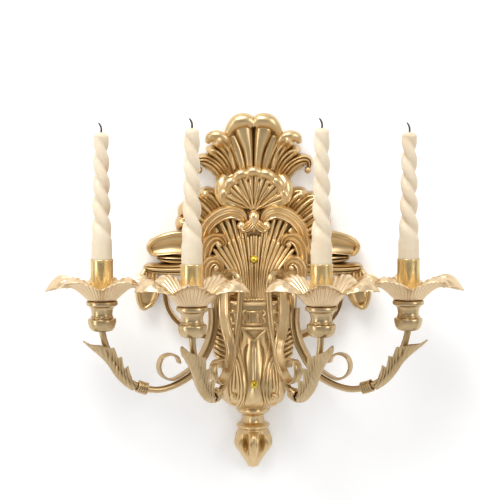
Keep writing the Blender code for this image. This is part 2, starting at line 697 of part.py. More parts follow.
def build_fixings():
    for name, (height, face) in STUDS.items():
        front = face - 5.0
        collar = -STRAP_SHEET - GAP
        stud = [(STUD_R, -GAP), (STUD_R, collar), (4.0, collar), (4.0, collar - 2.0),
                (STUD_R, collar - 2.0), (STUD_R, front)]
        turned(name + "_stud", (0.0, height), stud, 10, (STEEL, 0.35, 1.0), axis="Y")
        start = face - GAP
        nut = [(STUD_HOLE_R, start), (CAP_NUT_R - 0.6, start), (CAP_NUT_R, start - 1.2)]
        for i in range(1, 5):
            turn = 0.5 * math.pi * i / 5.0
            nut.append((CAP_NUT_R * math.cos(turn), start - 4.0 - CAP_NUT_R * math.sin(turn)))
        nut += [(0.6, start - 4.0 - CAP_NUT_R), (0.6, start - 5.6), (STUD_HOLE_R, start - 5.6)]
        turned(name + "_cap_nut", (0.0, height), nut, 12, (NUT_BRASS, 0.25, 1.0), axis="Y",
               ring=True)


def main():
    clear_scene()
    build_backplate()
    build_strap()
    build_fixings()
    for kind in ARMS:
        for hand in ("left", "right"):
            arm = Arm(kind, hand)
            build_rod(arm)
            build_scroll(arm)
            build_binding(arm)
            build_leaf(arm)
            build_cup(arm)
            build_pan(arm)
            foot = build_socket(arm)
            build_candle(arm, foot)


main()
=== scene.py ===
"""Looks of the wall sconce candle holder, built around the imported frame.

The cast backplate's relief, the bent arms with their scrolls, leaves and bindings, the turned
cups, the fluted drip pans, the sockets and the wax are modelled here at full detail. Lengths in
the modelling functions are millimetres; the wall is the plane y = 0 and the sconce faces -Y.
"""
import math

import bmesh
import bpy
import numpy as np
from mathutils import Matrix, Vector


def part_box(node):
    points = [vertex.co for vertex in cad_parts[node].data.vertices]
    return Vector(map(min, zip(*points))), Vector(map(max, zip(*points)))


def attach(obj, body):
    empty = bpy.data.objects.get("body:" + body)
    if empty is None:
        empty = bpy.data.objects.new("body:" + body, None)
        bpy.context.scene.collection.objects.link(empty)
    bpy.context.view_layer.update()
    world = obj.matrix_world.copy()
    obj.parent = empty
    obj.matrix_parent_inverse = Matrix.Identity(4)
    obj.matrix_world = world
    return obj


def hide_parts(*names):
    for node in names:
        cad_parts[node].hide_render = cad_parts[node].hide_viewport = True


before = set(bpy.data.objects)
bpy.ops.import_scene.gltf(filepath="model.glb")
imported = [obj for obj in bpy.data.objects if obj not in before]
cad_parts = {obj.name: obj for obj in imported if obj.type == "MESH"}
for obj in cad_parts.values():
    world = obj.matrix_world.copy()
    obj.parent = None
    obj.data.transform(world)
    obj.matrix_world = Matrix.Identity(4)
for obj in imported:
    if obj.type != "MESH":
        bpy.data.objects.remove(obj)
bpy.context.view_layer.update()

MM = 0.001
SPAN_STEPS = 24
SIDES = {"left": -1.0, "right": 1.0}


# ---------------------------------------------------------------- mesh building blocks

def lofted(rings, closed_ends=True):
    """Joins equal rings of points in turn, with caps, or into a loop without them."""
    rings = np.asarray(rings, float)
    rows, count, _ = rings.shape
    j = np.arange(count)
    k = (j + 1) % count
    faces = []
    for i in range(rows - 1 if closed_ends else rows):
        a = i * count
        b = (i + 1) % rows * count
        faces += np.stack([a + j, a + k, b + k, b + j], axis=1).tolist()
    if closed_ends:
        faces.append(list(range(count - 1, -1, -1)))
        faces.append(list(range((rows - 1) * count, rows * count)))
    return rings.reshape(-1, 3), faces


def joined(pieces):
    """Several (points, faces) pairs as one."""
    points, faces, start = [], [], 0
    for some_points, some_faces in pieces:
        points.append(some_points)
        faces += [[start + index for index in face] for face in some_faces]
        start += len(some_points)
    return np.concatenate(points), faces


def mirrored(piece):
    """The piece reflected in the plane x = 0, with its faces turned to stay outward."""
    points, faces = piece
    return points * np.array([-1.0, 1.0, 1.0]), [face[::-1] for face in faces]


def both_sides(pieces):
    """The pieces and their mirror images."""
    return pieces + [mirrored(piece) for piece in pieces]


def make_piece(name, shape, material, body, nodes, sharp=50.0):
    """Object from a (points, faces) pair that rides on a body and stands for CAD nodes."""
    points, faces = shape
    mesh = bpy.data.meshes.new(name)
    mesh.from_pydata((np.asarray(points) * MM).tolist(), [], faces)
    fix_outward(mesh)
    mesh.shade_smooth()
    mesh.set_sharp_from_angle(angle=math.radians(sharp))
    piece = bpy.data.objects.new(name, mesh)
    bpy.context.scene.collection.objects.link(piece)
    mesh.materials.append(material)
    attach(piece, body)
    if nodes:
        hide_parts(*nodes)
    return piece


def fix_outward(mesh):
    """Turns every closed shell of the mesh outward."""
    work = bmesh.new()
    work.from_mesh(mesh)
    bmesh.ops.recalc_face_normals(work, faces=work.faces)
    work.to_mesh(mesh)
    work.free()


def spline(controls, count):
    """Points on a Catmull-Rom curve, evenly spaced; extra columns are blended with them."""
    knots = np.asarray(controls, float)
    knots = np.vstack([2.0 * knots[0] - knots[1], knots, 2.0 * knots[-1] - knots[-2]])
    t = (np.arange(SPAN_STEPS) / SPAN_STEPS)[:, None]
    parts = []
    for a, b, c, d in zip(knots, knots[1:], knots[2:], knots[3:]):
        parts.append(0.5 * (2.0 * b + (c - a) * t + (2.0 * a - 5.0 * b + 4.0 * c - d) * t ** 2
                            + (3.0 * b - a - 3.0 * c + d) * t ** 3))
    parts.append(knots[-2:-1])
    dense = np.vstack(parts)
    steps = np.linalg.norm(np.diff(dense[:, :min(3, dense.shape[1])], axis=0), axis=1)
    length = np.concatenate([[0.0], np.cumsum(steps)])
    wanted = np.linspace(0.0, length[-1], count)
    return np.stack([np.interp(wanted, length, column) for column in dense.T], axis=1)


def unit(vectors):
    return vectors / np.maximum(np.linalg.norm(vectors, axis=-1, keepdims=True), 1e-9)


def frames_along(route, first_normal):
    """Normals and sides carried along a route without twist."""
    tangents = unit(np.gradient(route, axis=0))
    normals = np.zeros_like(route)
    normal = np.asarray(first_normal, float)
    for i, tangent in enumerate(tangents):
        normal = normal - tangent * normal.dot(tangent)
        normal /= np.linalg.norm(normal)
        normals[i] = normal
    return tangents, normals, np.cross(tangents, normals)


def swept(route, radii, sides=16, first_normal=(0.0, -1.0, 0.0)):
    """Round bar along a route."""
    route = np.asarray(route, float)
    _, normals, across = frames_along(route, first_normal)
    radii = np.broadcast_to(np.asarray(radii, float), (len(route),))
    turn = 2.0 * np.pi * np.arange(sides) / sides
    rings = (route[:, None] + normals[:, None] * np.cos(turn)[None, :, None]
             * radii[:, None, None]
             + across[:, None] * np.sin(turn)[None, :, None] * radii[:, None, None])
    return lofted(rings)


def turned(profile, centre, sides=64, axis="Z", closed=False):
    """Solid of revolution from (radius, place) pairs."""
    turn = 2.0 * np.pi * np.arange(sides) / sides
    rings = []
    for radius, place in profile:
        ring = np.zeros((sides, 3))
        ring[:, 0] = centre[0] + radius * np.cos(turn)
        ring[:, 2 if axis == "Y" else 1] = centre[1] + radius * np.sin(turn)
        ring[:, 1 if axis == "Y" else 2] = place
        rings.append(ring)
    return lofted(rings, closed_ends=not closed)


def rounded(profile, radius=0.5, steps=3):
    """Profile with its corners replaced by short arcs."""
    points = [np.asarray(p, float) for p in profile]
    result = [points[0]]
    for before, here, after in zip(points, points[1:], points[2:]):
        back = unit(before - here) * min(radius, 0.45 * np.linalg.norm(before - here))
        ahead = unit(after - here) * min(radius, 0.45 * np.linalg.norm(after - here))
        for i in range(steps + 1):
            t = i / steps
            result.append(here + back * (1.0 - t) ** 2 + ahead * t ** 2)
    result.append(points[-1])
    return result


# ---------------------------------------------------------------- relief of the casting

def reed(s, t):
    """Plain half-round."""
    return np.sqrt(np.maximum(0.0, 1.0 - s * s))


def plump(*grooves, depth=0.24, spread=0.08):
    """Full rounded crown with soft grooves at the given places either side."""
    def shape(s, t):
        crown = np.maximum(0.0, 1.0 - np.abs(s) ** 2.6) ** 0.55
        for place in grooves:
            crown = crown * (1.0 - depth * np.exp(-((np.abs(s) - place) / spread) ** 2))
        return crown
    return shape


def moulded(s, t):
    """Three rounded mouldings side by side, the middle one the highest."""
    crown = np.maximum(0.0, 1.0 - np.abs(s) ** 4.0) ** 0.5
    return crown * (0.70 + 0.30 * np.cos(1.5 * np.pi * s) ** 2 - 0.14 * np.abs(s))


def cupped(s, t):
    """Shallow trough between two rolled rims."""
    rim = np.exp(-((np.abs(s) - 0.74) / 0.20) ** 2)
    ease = np.sqrt(np.maximum(0.0, 1.0 - np.maximum(0.0, (np.abs(s) - 0.74) / 0.26) ** 2))
    return (0.52 + 0.48 * rim) * ease


def dished(s, t):
    """Open dish that rises to a soft edge."""
    ease = np.sqrt(np.maximum(0.0, 1.0 - np.maximum(0.0, (np.abs(s) - 0.86) / 0.14) ** 2))
    return (0.50 + 0.50 * np.abs(s) ** 2.4) * ease


def lipped(section, place=0.86, spread=0.10, gain=0.9):
    """The section with a rolled lip across it near its tip."""
    def shape(s, t):
        lip = gain * np.exp(-((t - place) / spread) ** 2)
        smooth = np.sqrt(np.maximum(0.0, 1.0 - s * s))
        hide = np.exp(-((t - place) / (1.4 * spread)) ** 2)
        return section(s, t) * (1.0 - hide) + smooth * hide + lip * smooth
    return shape


def lobe(spine, section, rows=44, columns=25, tip=0.72, root=0.0, back=-0.9):
    """Raised lobe along a spine of (x, z, edge y, half width, height) rows.

    Across the spine the section gives the height from edge to edge; past tip and before root
    the lobe rounds off. Behind its edge the lobe runs straight back to the depth back.
    """
    data = spline(spine, rows)
    t = np.linspace(0.0, 1.0, rows)
    along = unit(np.gradient(data[:, :2], axis=0))
    side = np.stack([-along[:, 1], along[:, 0]], axis=1)
    ease = np.ones(rows)
    past = np.clip((t - tip) / (1.0 - tip), 0.0, 1.0)
    ease *= np.sqrt(np.maximum(1e-4, 1.0 - past ** 2))
    if root > 0.0:
        before = np.clip((root - t) / root, 0.0, 1.0)
        ease *= np.sqrt(np.maximum(1e-4, 1.0 - before ** 2))
    width = np.maximum(data[:, 3] * ease, 0.03)
    height = data[:, 4] * ease ** 0.7
    s = np.sin(np.linspace(-0.5 * np.pi, 0.5 * np.pi, columns))
    rings = []
    for i in range(rows):
        lift = height[i] * np.maximum(0.0, section(s, t[i]))
        x = data[i, 0] + side[i, 0] * width[i] * s
        z = data[i, 1] + side[i, 1] * width[i] * s
        front = np.stack([x, data[i, 2] - lift, z], axis=1)
        behind = np.array([[x[-1], back, z[-1]], [x[0], back, z[0]]])
        rings.append(np.vstack([front, behind]))
    return lofted(rings)


def field(outline, height, front, back):
    """Smooth cushion inside a closed outline of (x, z) corners."""
    rows = 10
    edge = spline([*outline, outline[0]], 6 * len(outline) + 1)[:-1]
    middle = edge.mean(axis=0)
    rings = [np.stack([edge[:, 0], np.full(len(edge), back), edge[:, 1]], axis=1)]
    for i in range(rows):
        turn = 0.5 * np.pi * i / (rows - 1)
        shrink = 1.0 - 0.62 * (1.0 - math.cos(turn)) if i < rows - 1 else 0.36
        ring = middle + (edge - middle) * shrink
        y = front - height * math.sin(turn)
        rings.append(np.stack([ring[:, 0], np.full(len(edge), y), ring[:, 1]], axis=1))
    return lofted(rings)


def ball(centre, radius):
    """Bead, closed with small caps at its poles."""
    sides, rows = 20, 12
    rings = []
    for i in range(rows + 1):
        turn = math.pi * (0.03 + 0.94 * i / rows)
        spin = 2.0 * np.pi * np.arange(sides) / sides
        ring = np.stack([np.cos(spin) * math.sin(turn), np.full(sides, -math.cos(turn)),
                         np.sin(spin) * math.sin(turn)], axis=1)
        rings.append(np.asarray(centre) + ring * radius)
    return lofted(rings)


def half_round(rows_data, segments, back, relief=None):
    """Half-turned casting from (height, half width, depth) rows, with relief added to it."""
    data = spline(rows_data, max(40, 9 * len(rows_data)))
    turn = np.linspace(0.0, np.pi, segments)
    rings = []
    for z, width, depth in data:
        swell = 1.0 + (relief(turn, z) if relief else np.zeros(segments))
        x = width * np.cos(turn) * swell
        y = -1.5 - depth * np.sin(turn) * swell
        ring = np.stack([x, y, np.full(segments, z)], axis=1)
        rings.append(np.vstack([[width, back, z], ring, [-width, back, z]]))
    return lofted(rings)


def bar(controls, count=40, sides=14):
    """Round bar through (x, y, z, radius) points."""
    data = spline(controls, count)
    return swept(data[:, :3], data[:, 3], sides)


# ---------------------------------------------------------------- materials

def node_tree(name):
    material = bpy.data.materials.new(name)
    material.use_nodes = True
    tree = material.node_tree
    return material, tree, tree.nodes["Principled BSDF"]


def add_node(tree, kind, **values):
    """Node of a kind; keys are properties, or inputs when they name one with its spaces."""
    node = tree.nodes.new(kind)
    for key, value in values.items():
        if hasattr(node, key):
            setattr(node, key, value)
        else:
            node.inputs[key.replace("_", " ")].default_value = value
    return node


def noise(tree, scale, detail=4.0, stretch=(1.0, 1.0, 1.0)):
    """Noise over object coordinates, scale in cells for each metre."""
    place = add_node(tree, "ShaderNodeTexCoord")
    mapping = add_node(tree, "ShaderNodeMapping")
    mapping.inputs["Scale"].default_value = stretch
    texture = add_node(tree, "ShaderNodeTexNoise", Scale=scale, Detail=detail)
    tree.links.new(place.outputs["Object"], mapping.inputs["Vector"])
    tree.links.new(mapping.outputs["Vector"], texture.inputs["Vector"])
    return texture.outputs["Fac"]


def spread(tree, value, low, high, to_low, to_high):
    node = add_node(tree, "ShaderNodeMapRange")
    for key, number in (("From Min", low), ("From Max", high), ("To Min", to_low),
                        ("To Max", to_high)):
        node.inputs[key].default_value = number
    tree.links.new(value, node.inputs["Value"])
    return node.outputs["Result"]


def mix(tree, share, first, second):
    """Colour between two colours or colour outputs."""
    node = add_node(tree, "ShaderNodeMix", data_type="RGBA", blend_type="MIX")
    if isinstance(share, float):
        node.inputs[0].default_value = share
    else:
        tree.links.new(share, node.inputs[0])
    for socket, value in ((node.inputs[6], first), (node.inputs[7], second)):
        if isinstance(value, tuple):
            socket.default_value = (*value, 1.0)
        else:
            tree.links.new(value, socket)
    return node.outputs[2]


def combine(tree, operation, first, second):
    node = add_node(tree, "ShaderNodeMath", operation=operation)
    for socket, value in zip(node.inputs, (first, second)):
        if isinstance(value, float):
            socket.default_value = value
        else:
            tree.links.new(value, socket)
    return node.outputs[0]


def occlusion_shade(tree, distance, low, high):
    """Ambient-occlusion mask for painted shade: 1 in the recesses and 0 in the open."""
    shade = add_node(tree, "ShaderNodeAmbientOcclusion", samples=6, Distance=distance)
    return spread(tree, shade.outputs["AO"], low, high, 1.0, 0.0)


def add_bump(tree, shader, *layers):
    """Bump layers as (height, strength, distance) feeding the shader's normal in turn."""
    normal = None
    for height, strength, distance in layers:
        node = add_node(tree, "ShaderNodeBump", Strength=strength, Distance=distance)
        tree.links.new(height, node.inputs["Height"])
        if normal:
            tree.links.new(normal, node.inputs["Normal"])
        normal = node.outputs["Normal"]
    tree.links.new(normal, shader.inputs["Normal"])


def gilt(name, colour, shade_colour, glow, rough=(0.26, 0.38), grain=1.0, depth=0.008):
    """Satin gold finish over metal, with painted shade darkening its recesses to a patina brown."""
    material, tree, shader = node_tree(name)
    cloud = noise(tree, 45.0, 3.0)
    fine = noise(tree, 420.0, 5.0)
    tone = mix(tree, spread(tree, cloud, 0.35, 0.65, 0.0, 1.0), colour, glow)
    # Painted shade: ambient occlusion, broken up by fine noise, darkens the recesses toward the
    # dark brown and makes them a little rougher.
    shade_mask = occlusion_shade(tree, depth, 0.06, 0.56)
    shade_share = combine(tree, "MULTIPLY", shade_mask, spread(tree, fine, 0.30, 0.62, 0.78, 0.88))
    tone = mix(tree, shade_share, tone, shade_colour)
    tree.links.new(tone, shader.inputs["Base Color"])
    shader.inputs["Metallic"].default_value = 1.0
    dull = spread(tree, cloud, 0.3, 0.7, rough[0], rough[1])
    dull = combine(tree, "ADD", dull, combine(tree, "MULTIPLY", shade_share, 0.12))
    tree.links.new(dull, shader.inputs["Roughness"])
    add_bump(tree, shader, (noise(tree, 110.0, 2.0), 0.08 * grain, 0.0006),
             (noise(tree, 1900.0, 2.0), 0.05 * grain, 0.0002))
    return material


def polished(name, colour, deep, rough, stretch, grain):
    """Drawn or turned bright metal with fine lines along it."""
    material, tree, shader = node_tree(name)
    lines = noise(tree, 900.0, 3.0, stretch)
    cloud = noise(tree, 70.0, 2.0)
    tone = mix(tree, spread(tree, cloud, 0.35, 0.68, 0.0, 0.8), colour, deep)
    # Painted shade: ambient occlusion darkens the recesses toward a darker tone of the metal.
    tone = mix(tree, occlusion_shade(tree, 0.006, 0.2, 0.8), tone, tuple(0.45 * c for c in deep))
    tree.links.new(tone, shader.inputs["Base Color"])
    shader.inputs["Metallic"].default_value = 1.0
    tree.links.new(spread(tree, lines, 0.3, 0.7, rough[0], rough[1]), shader.inputs["Roughness"])
    add_bump(tree, shader, (lines, grain, 0.00025), (cloud, 0.08, 0.0008))
    return material


def wax_material():
    material, tree, shader = node_tree("ivory_wax")
    cloud = noise(tree, 32.0, 3.0)
    mottle = noise(tree, 190.0, 4.0)
    tone = mix(tree, spread(tree, cloud, 0.35, 0.68, 0.0, 1.0), (0.79, 0.69, 0.52),
               (0.76, 0.62, 0.44))
    tone = mix(tree, spread(tree, mottle, 0.45, 0.75, 0.0, 0.35), tone, (0.84, 0.78, 0.64))
    # Painted shade: ambient occlusion darkens the candle's grooves to a peach brown.
    tone = mix(tree, occlusion_shade(tree, 0.007, 0.35, 0.95), tone, (0.66, 0.47, 0.27))
    tree.links.new(tone, shader.inputs["Base Color"])
    tree.links.new(spread(tree, mottle, 0.3, 0.7, 0.34, 0.52), shader.inputs["Roughness"])
    shader.inputs["Subsurface Weight"].default_value = 0.22
    shader.inputs["Subsurface Radius"].default_value = (0.006, 0.0035, 0.0018)
    shader.inputs["Subsurface Scale"].default_value = 1.0
    add_bump(tree, shader, (cloud, 0.25, 0.0012), (mottle, 0.14, 0.0004))
    return material


def wick_material():
    material, tree, shader = node_tree("charred_wick")
    strands = noise(tree, 1500.0, 4.0, (1.0, 1.0, 0.35))
    tone = mix(tree, spread(tree, strands, 0.35, 0.7, 0.0, 1.0), (0.012, 0.010, 0.009),
               (0.085, 0.060, 0.040))
    tree.links.new(tone, shader.inputs["Base Color"])
    tree.links.new(spread(tree, strands, 0.3, 0.7, 0.75, 0.95), shader.inputs["Roughness"])
    add_bump(tree, shader, (strands, 0.6, 0.0005))
    return material


# Each gilt finish takes its colour, the dark brown of its painted crevice shade, and a lighter tone
# for random variation.
GOLD = (0.67, 0.48, 0.24)
GLOW = (0.74, 0.55, 0.30)
# Dark brown painted as shade into the recesses of the cast gold.
CREVICE_SHADE = (0.30, 0.185, 0.072)
cast_gold = gilt("cast_gold", GOLD, CREVICE_SHADE, GLOW, (0.30, 0.37), 0.8, 0.006)
# A lighter copy of the cast gold that paints extra light onto the C-scrolls, which sit in shade
# behind the candles.
lit_scroll_gold = gilt("lit_scroll_gold", (0.82, 0.62, 0.35), (0.42, 0.27, 0.12), (0.88, 0.70, 0.43),
                   (0.30, 0.37), 0.8, 0.006)
arm_gold = gilt("arm_gold", (0.52, 0.37, 0.19), (0.17, 0.10, 0.036), (0.59, 0.43, 0.23),
                (0.28, 0.35), 0.3, 0.006)
leaf_gold = gilt("leaf_gold", (0.52, 0.38, 0.20), (0.15, 0.09, 0.033), (0.60, 0.45, 0.26),
                 (0.32, 0.42), 0.7, 0.004)
cup_gold = gilt("cup_gold", (0.56, 0.41, 0.215), (0.22, 0.14, 0.06), (0.63, 0.475, 0.27),
                (0.28, 0.35), 0.25, 0.005)
pan_gold = gilt("pan_gold", (0.74, 0.55, 0.33), (0.32, 0.20, 0.09), (0.81, 0.63, 0.40),
                (0.28, 0.35), 0.25, 0.005)
brass = polished("socket_brass", (0.80, 0.62, 0.32), (0.72, 0.53, 0.24), (0.24, 0.36),
                 (1.0, 1.0, 0.10), 0.10)
ball_brass = polished("nut_brass", (0.80, 0.62, 0.10), (0.60, 0.42, 0.05), (0.14, 0.26),
                      (1.0, 0.2, 1.0), 0.08)
strap_steel = polished("strap_steel", (0.50, 0.50, 0.48), (0.34, 0.33, 0.31), (0.32, 0.52),
                       (1.0, 1.0, 0.05), 0.20)
stud_steel = polished("stud_steel", (0.58, 0.57, 0.54), (0.40, 0.38, 0.35), (0.25, 0.42),
                      (1.0, 0.15, 1.0), 0.15)
wax = wax_material()
wick = wick_material()


# ---------------------------------------------------------------- the four arms

ROD_R = 3.5
SCROLL_OFFSET = 5.0
ARMS = {
    "outer": {
        "cup": (160.0, -95.0), "foot": (38.0, -42.0), "candle_top": 211.0,
        "pan_turn": 36.0, "binding": 41.0, "curl_centre": (78.5, -37.5), "curl_r": 14.5,
        "rod": ((0.0, 15.0), (0.3, 3.0), (4.4, -12.3), (13.1, -30.7), (25.2, -46.7),
                (40.7, -57.0), (60.9, -62.0), (79.0, -59.4), (96.0, -52.2), (107.4, -43.5),
                (116.5, -31.0), (124.0, -17.0), (128.4, -2.0), (129.6, 11.0)),
        "crook": ((41.8, -43.6, 24.0), (42.0, -42.0, 33.5), (42.0, -38.0, 39.5),
                  (42.0, -32.0, 42.0)),
        "scroll_start": (), "contact": (22.0, 6.0, -9.0, -21.0, -32.0, -41.0),
    },
    "inner": {
        "cup": (66.0, -150.0), "foot": (14.5, -60.0), "candle_top": 217.5,
        "pan_turn": 0.0, "binding": 46.0, "curl_centre": (57.0, -37.5), "curl_r": 13.0,
        "rod": ((0.0, 15.0), (0.3, 3.0), (2.2, -10.1), (8.6, -29.4), (18.0, -47.5),
                (30.7, -59.6), (44.4, -63.4), (55.0, -61.0), (66.5, -54.5), (75.4, -46.5),
                (81.9, -37.0), (87.0, -25.0), (92.0, -11.0), (97.0, 3.3), (101.0, 22.0),
                (103.2, 40.0)),
        "crook": ((15.0, -60.6, 51.0), (18.0, -57.5, 58.0), (23.0, -50.0, 60.5),
                  (27.5, -41.0, 57.0), (29.0, -33.0, 54.0)),
        "scroll_start": ((31.8, -34.5, 40.0), (32.7, -43.5, 29.0), (32.3, -54.0, 14.0),
                         (30.0, -65.5, 1.5), (26.8, -74.5, -9.5)),
        "contact": (-22.0, -32.0, -40.0, -46.0),
    },
}


class Arm:
    """Place and routes of one arm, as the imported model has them."""

    def __init__(self, kind, hand):
        self.spec = ARMS[kind]
        self.name = f"{kind}_{hand}"
        flip = np.array([SIDES[hand], 1.0])
        self.cup = np.array(self.spec["cup"]) * flip
        self.inward = unit(np.array(self.spec["foot"]) * flip - self.cup)
        self.inward = np.array([*self.inward, 0.0])
        self.across = np.array([-self.inward[1], self.inward[0], 0.0])
        flip = np.array([SIDES[hand], 1.0, 1.0])
        controls = [self.in_plane(*pair) for pair in self.spec["rod"]]
        controls += [np.array(point) * flip for point in self.spec["crook"]]
        self.rod = spline(controls, 240)
        _, self.normals, self.sides = frames_along(self.rod, self.inward)
        self.scroll = self.scroll_route(flip)

    def in_plane(self, distance, height):
        return np.array([*self.cup, 0.0]) + self.inward * distance + np.array([0, 0, height])

    def reach(self):
        """Distance of every rod point from the cup's axis."""
        return (self.rod - np.array([*self.cup, 0.0])) @ self.inward

    def scroll_route(self, flip):
        """Strip from its start down along the rod, then round into its curl."""
        points = [np.array(point) * flip for point in self.spec["scroll_start"]]
        leg = np.arange(int(np.argmin(self.rod[:, 2])), len(self.rod))
        for height in self.spec["contact"]:
            i = leg[np.argmin(np.abs(self.rod[leg, 2] - height))]
            points.append(self.rod[i] + self.normals[i] * SCROLL_OFFSET)
        centre = self.spec["curl_centre"]
        for i in range(8):
            angle = math.radians(-62.0 - 40.0 * i)
            radius = self.spec["curl_r"] * (1.0 - 0.12 * max(0, i - 4))
            points.append(self.in_plane(centre[0] + radius * math.cos(angle),
                                        centre[1] + radius * math.sin(angle)))
        return spline(points, 150)


def rod_piece(arm):
    end = arm.rod[-1]
    route = np.vstack([arm.rod, [[end[0], -31.0, end[2]], [end[0], -15.0, end[2]]]])
    wobble = 1.0 + 0.012 * np.sin(np.linspace(0.0, 60.0, len(route)))
    shape = swept(route, ROD_R * wobble, 24, arm.inward)
    make_piece(arm.name + "_bent_rod", shape, arm_gold, "root", [arm.name + "_arm"])


def scroll_piece(arm):
    """Flat strip with rounded edges and two fine grooves, rolled up at its end."""
    _, normals, sides = frames_along(arm.scroll, arm.across)
    wide, thick = 5.8, 1.25
    s = np.linspace(-1.0, 1.0, 23)
    swell = np.sqrt(np.maximum(0.02, 1.0 - np.abs(s) ** 8))
    groove = 0.30 * np.exp(-((np.abs(s) - 0.62) / 0.09) ** 2)
    height = thick * (swell - groove)
    section = [*zip(wide * s, height), *zip(wide * s[::-1], -height[::-1])]
    count = len(arm.scroll)
    t = np.linspace(0.0, 1.0, count)
    narrow = 1.0 - 0.12 * np.clip((t - 0.9) / 0.1, 0.0, 1.0) ** 2
    rings = [[arm.scroll[i] + normals[i] * a * narrow[i] + sides[i] * b for a, b in section]
             for i in range(count)]
    make_piece(arm.name + "_strip_scroll", lofted(rings), arm_gold, "root",
               [arm.name + "_scroll"])


def binding_piece(arm):
    """Five wound turns of round wire round the rod."""
    start = int(np.argmin(np.abs(arm.reach()[:120] - arm.spec["binding"])))
    step = np.linalg.norm(arm.rod[1] - arm.rod[0])
    turns, wire = 5, 1.15
    count = 44 * turns
    route = []
    for i in range(count + 1):
        at = start - 2.0 + i / count * 2.1 * wire * turns / step
        low = int(at)
        part = at - low
        turn = 2.0 * math.pi * turns * i / count
        point, normal, side = (a[low] * (1.0 - part) + a[low + 1] * part
                               for a in (arm.rod, arm.normals, arm.sides))
        route.append(point + (normal * math.cos(turn) + side * math.sin(turn))
                     * (ROD_R + 0.9 + wire))
    shape = swept(np.array(route), wire, 12, arm.inward)
    make_piece(arm.name + "_wire_binding", shape, arm_gold, "root", [arm.name + "_binding"])


LEAF_R = 4.6


def leaf_reach(t):
    """Width of the leaf from its midrib round to its edge, lobe by lobe."""
    if t < 0.10:
        return 7.0 + 50.0 * t
    if t > 0.74:
        return 12.6 * max(0.0, (1.0 - t) / 0.26) ** 0.75 + 0.5
    phase = (t - 0.10) / 0.64 * 3.0
    peak = 20.0 - 1.4 * phase
    rise = (phase % 1.0) / 0.74
    share = rise ** 1.2 if rise < 1.0 else max(0.0, 1.0 - (rise - 1.0) / 0.30)
    return 13.0 + (peak - 13.0) * share


def leaf_piece(arm):
    """Veined acanthus leaf that hugs the rod, three pointed lobes a side, its tip rolled out."""
    reach = arm.reach()[:150]
    first = int(np.argmin(np.abs(reach - arm.spec["binding"] + 4.0)))
    last = int(np.argmin(np.abs(arm.rod[:110, 2] + 1.0)))
    rows, columns = 130, 45
    lean = math.radians(38.0)
    skins = ([], [])
    for i in range(rows):
        t = i / (rows - 1)
        at = first + (last - first) * t
        low = min(int(at), len(arm.rod) - 2)
        part = at - low
        point, normal, side = (a[low] * (1.0 - part) + a[low + 1] * part
                               for a in (arm.rod, arm.normals, arm.sides))
        ahead = unit(arm.rod[low - 1] - arm.rod[low + 1])
        roll = 17.0 * max(0.0, (t - 0.5) / 0.5) ** 1.8
        width = leaf_reach(t)
        flat = max(0.0, (t - 0.66) / 0.34)
        bend = LEAF_R * (1.0 + 1.2 * flat)
        quarter = 0.5 * math.pi * bend
        for j in range(columns):
            s = 2.0 * j / (columns - 1) - 1.0
            arc = abs(s) * width
            vein = 1.1 * math.exp(-(s / 0.10) ** 2)
            fold = abs(math.sin(math.pi * (11.0 * t - 0.20 * arc))) - 0.6
            vein += 1.7 * fold * min(1.0, 3.0 * abs(s)) * (1.0 - abs(s) ** 8)
            curl = 0.9 * max(0.0, (arc - 10.0) / 6.0) ** 2
            for skin, lift in zip(skins, (0.0, 0.95)):
                rise = lift + (vein if lift > 0.0 else 0.7 * vein)
                if arc < quarter:
                    turn = arc / bend
                    out = (bend + rise) * math.cos(turn) - (bend - LEAF_R)
                    aside = (bend + rise) * math.sin(turn)
                else:
                    spare = arc - quarter
                    out = -spare * math.cos(lean) - (bend - LEAF_R) + rise * math.sin(lean)
                    aside = bend + spare * math.sin(lean) + rise * math.cos(lean) + curl
                forward = 0.65 * max(0.0, arc - 5.0)
                skin.append(point - normal * (out + roll) + side * math.copysign(aside, s)
                            + ahead * forward)
    shape = sheet_shape(skins[0], skins[1], rows, columns)
    make_piece(arm.name + "_acanthus_leaf", shape, leaf_gold, "root", [arm.name + "_leaf"],
               70.0)


def sheet_shape(inner, outer, rows, columns):
    """Closes two equal grids of points into one thin solid."""
    size = rows * columns
    faces = []
    for i in range(rows - 1):
        for j in range(columns - 1):
            a = i * columns + j
            faces.append([a, a + 1, a + columns + 1, a + columns])
            faces.append([size + a + columns, size + a + columns + 1, size + a + 1, size + a])
    border = list(range(columns - 1))
    border += [i * columns + columns - 1 for i in range(rows - 1)]
    border += [(rows - 1) * columns + j for j in range(columns - 1, 0, -1)]
    border += [i * columns for i in range(rows - 1, 0, -1)]
    for a, b in zip(border, border[1:] + border[:1]):
        faces.append([b, a, size + a, size + b])
    return np.array([*inner, *outer]), faces


CUP_PROFILE = ((4.1, 3.6), (8.4, 3.5), (11.2, 4.6), (13.4, 7.6), (14.6, 11.4), (15.0, 14.6),
               (14.7, 16.4), (13.6, 17.0), (11.9, 17.2), (11.6, 17.9), (12.1, 18.5),
               (11.7, 19.3), (11.0, 19.8), (10.9, 22.4), (11.5, 26.0), (12.8, 28.9),
               (14.4, 30.1), (15.9, 30.6), (16.5, 31.6), (16.6, 33.6), (16.0, 35.2),
               (15.0, 35.5), (2.4, 35.5), (2.4, 20.0), (4.1, 20.0))


def cup_piece(arm):
    shape = turned(rounded(CUP_PROFILE, 0.5, 2), arm.cup, 72, closed=True)
    make_piece(arm.name + "_turned_cup", shape, cup_gold, "root", [arm.name + "_cup"])


FLUTES = 45


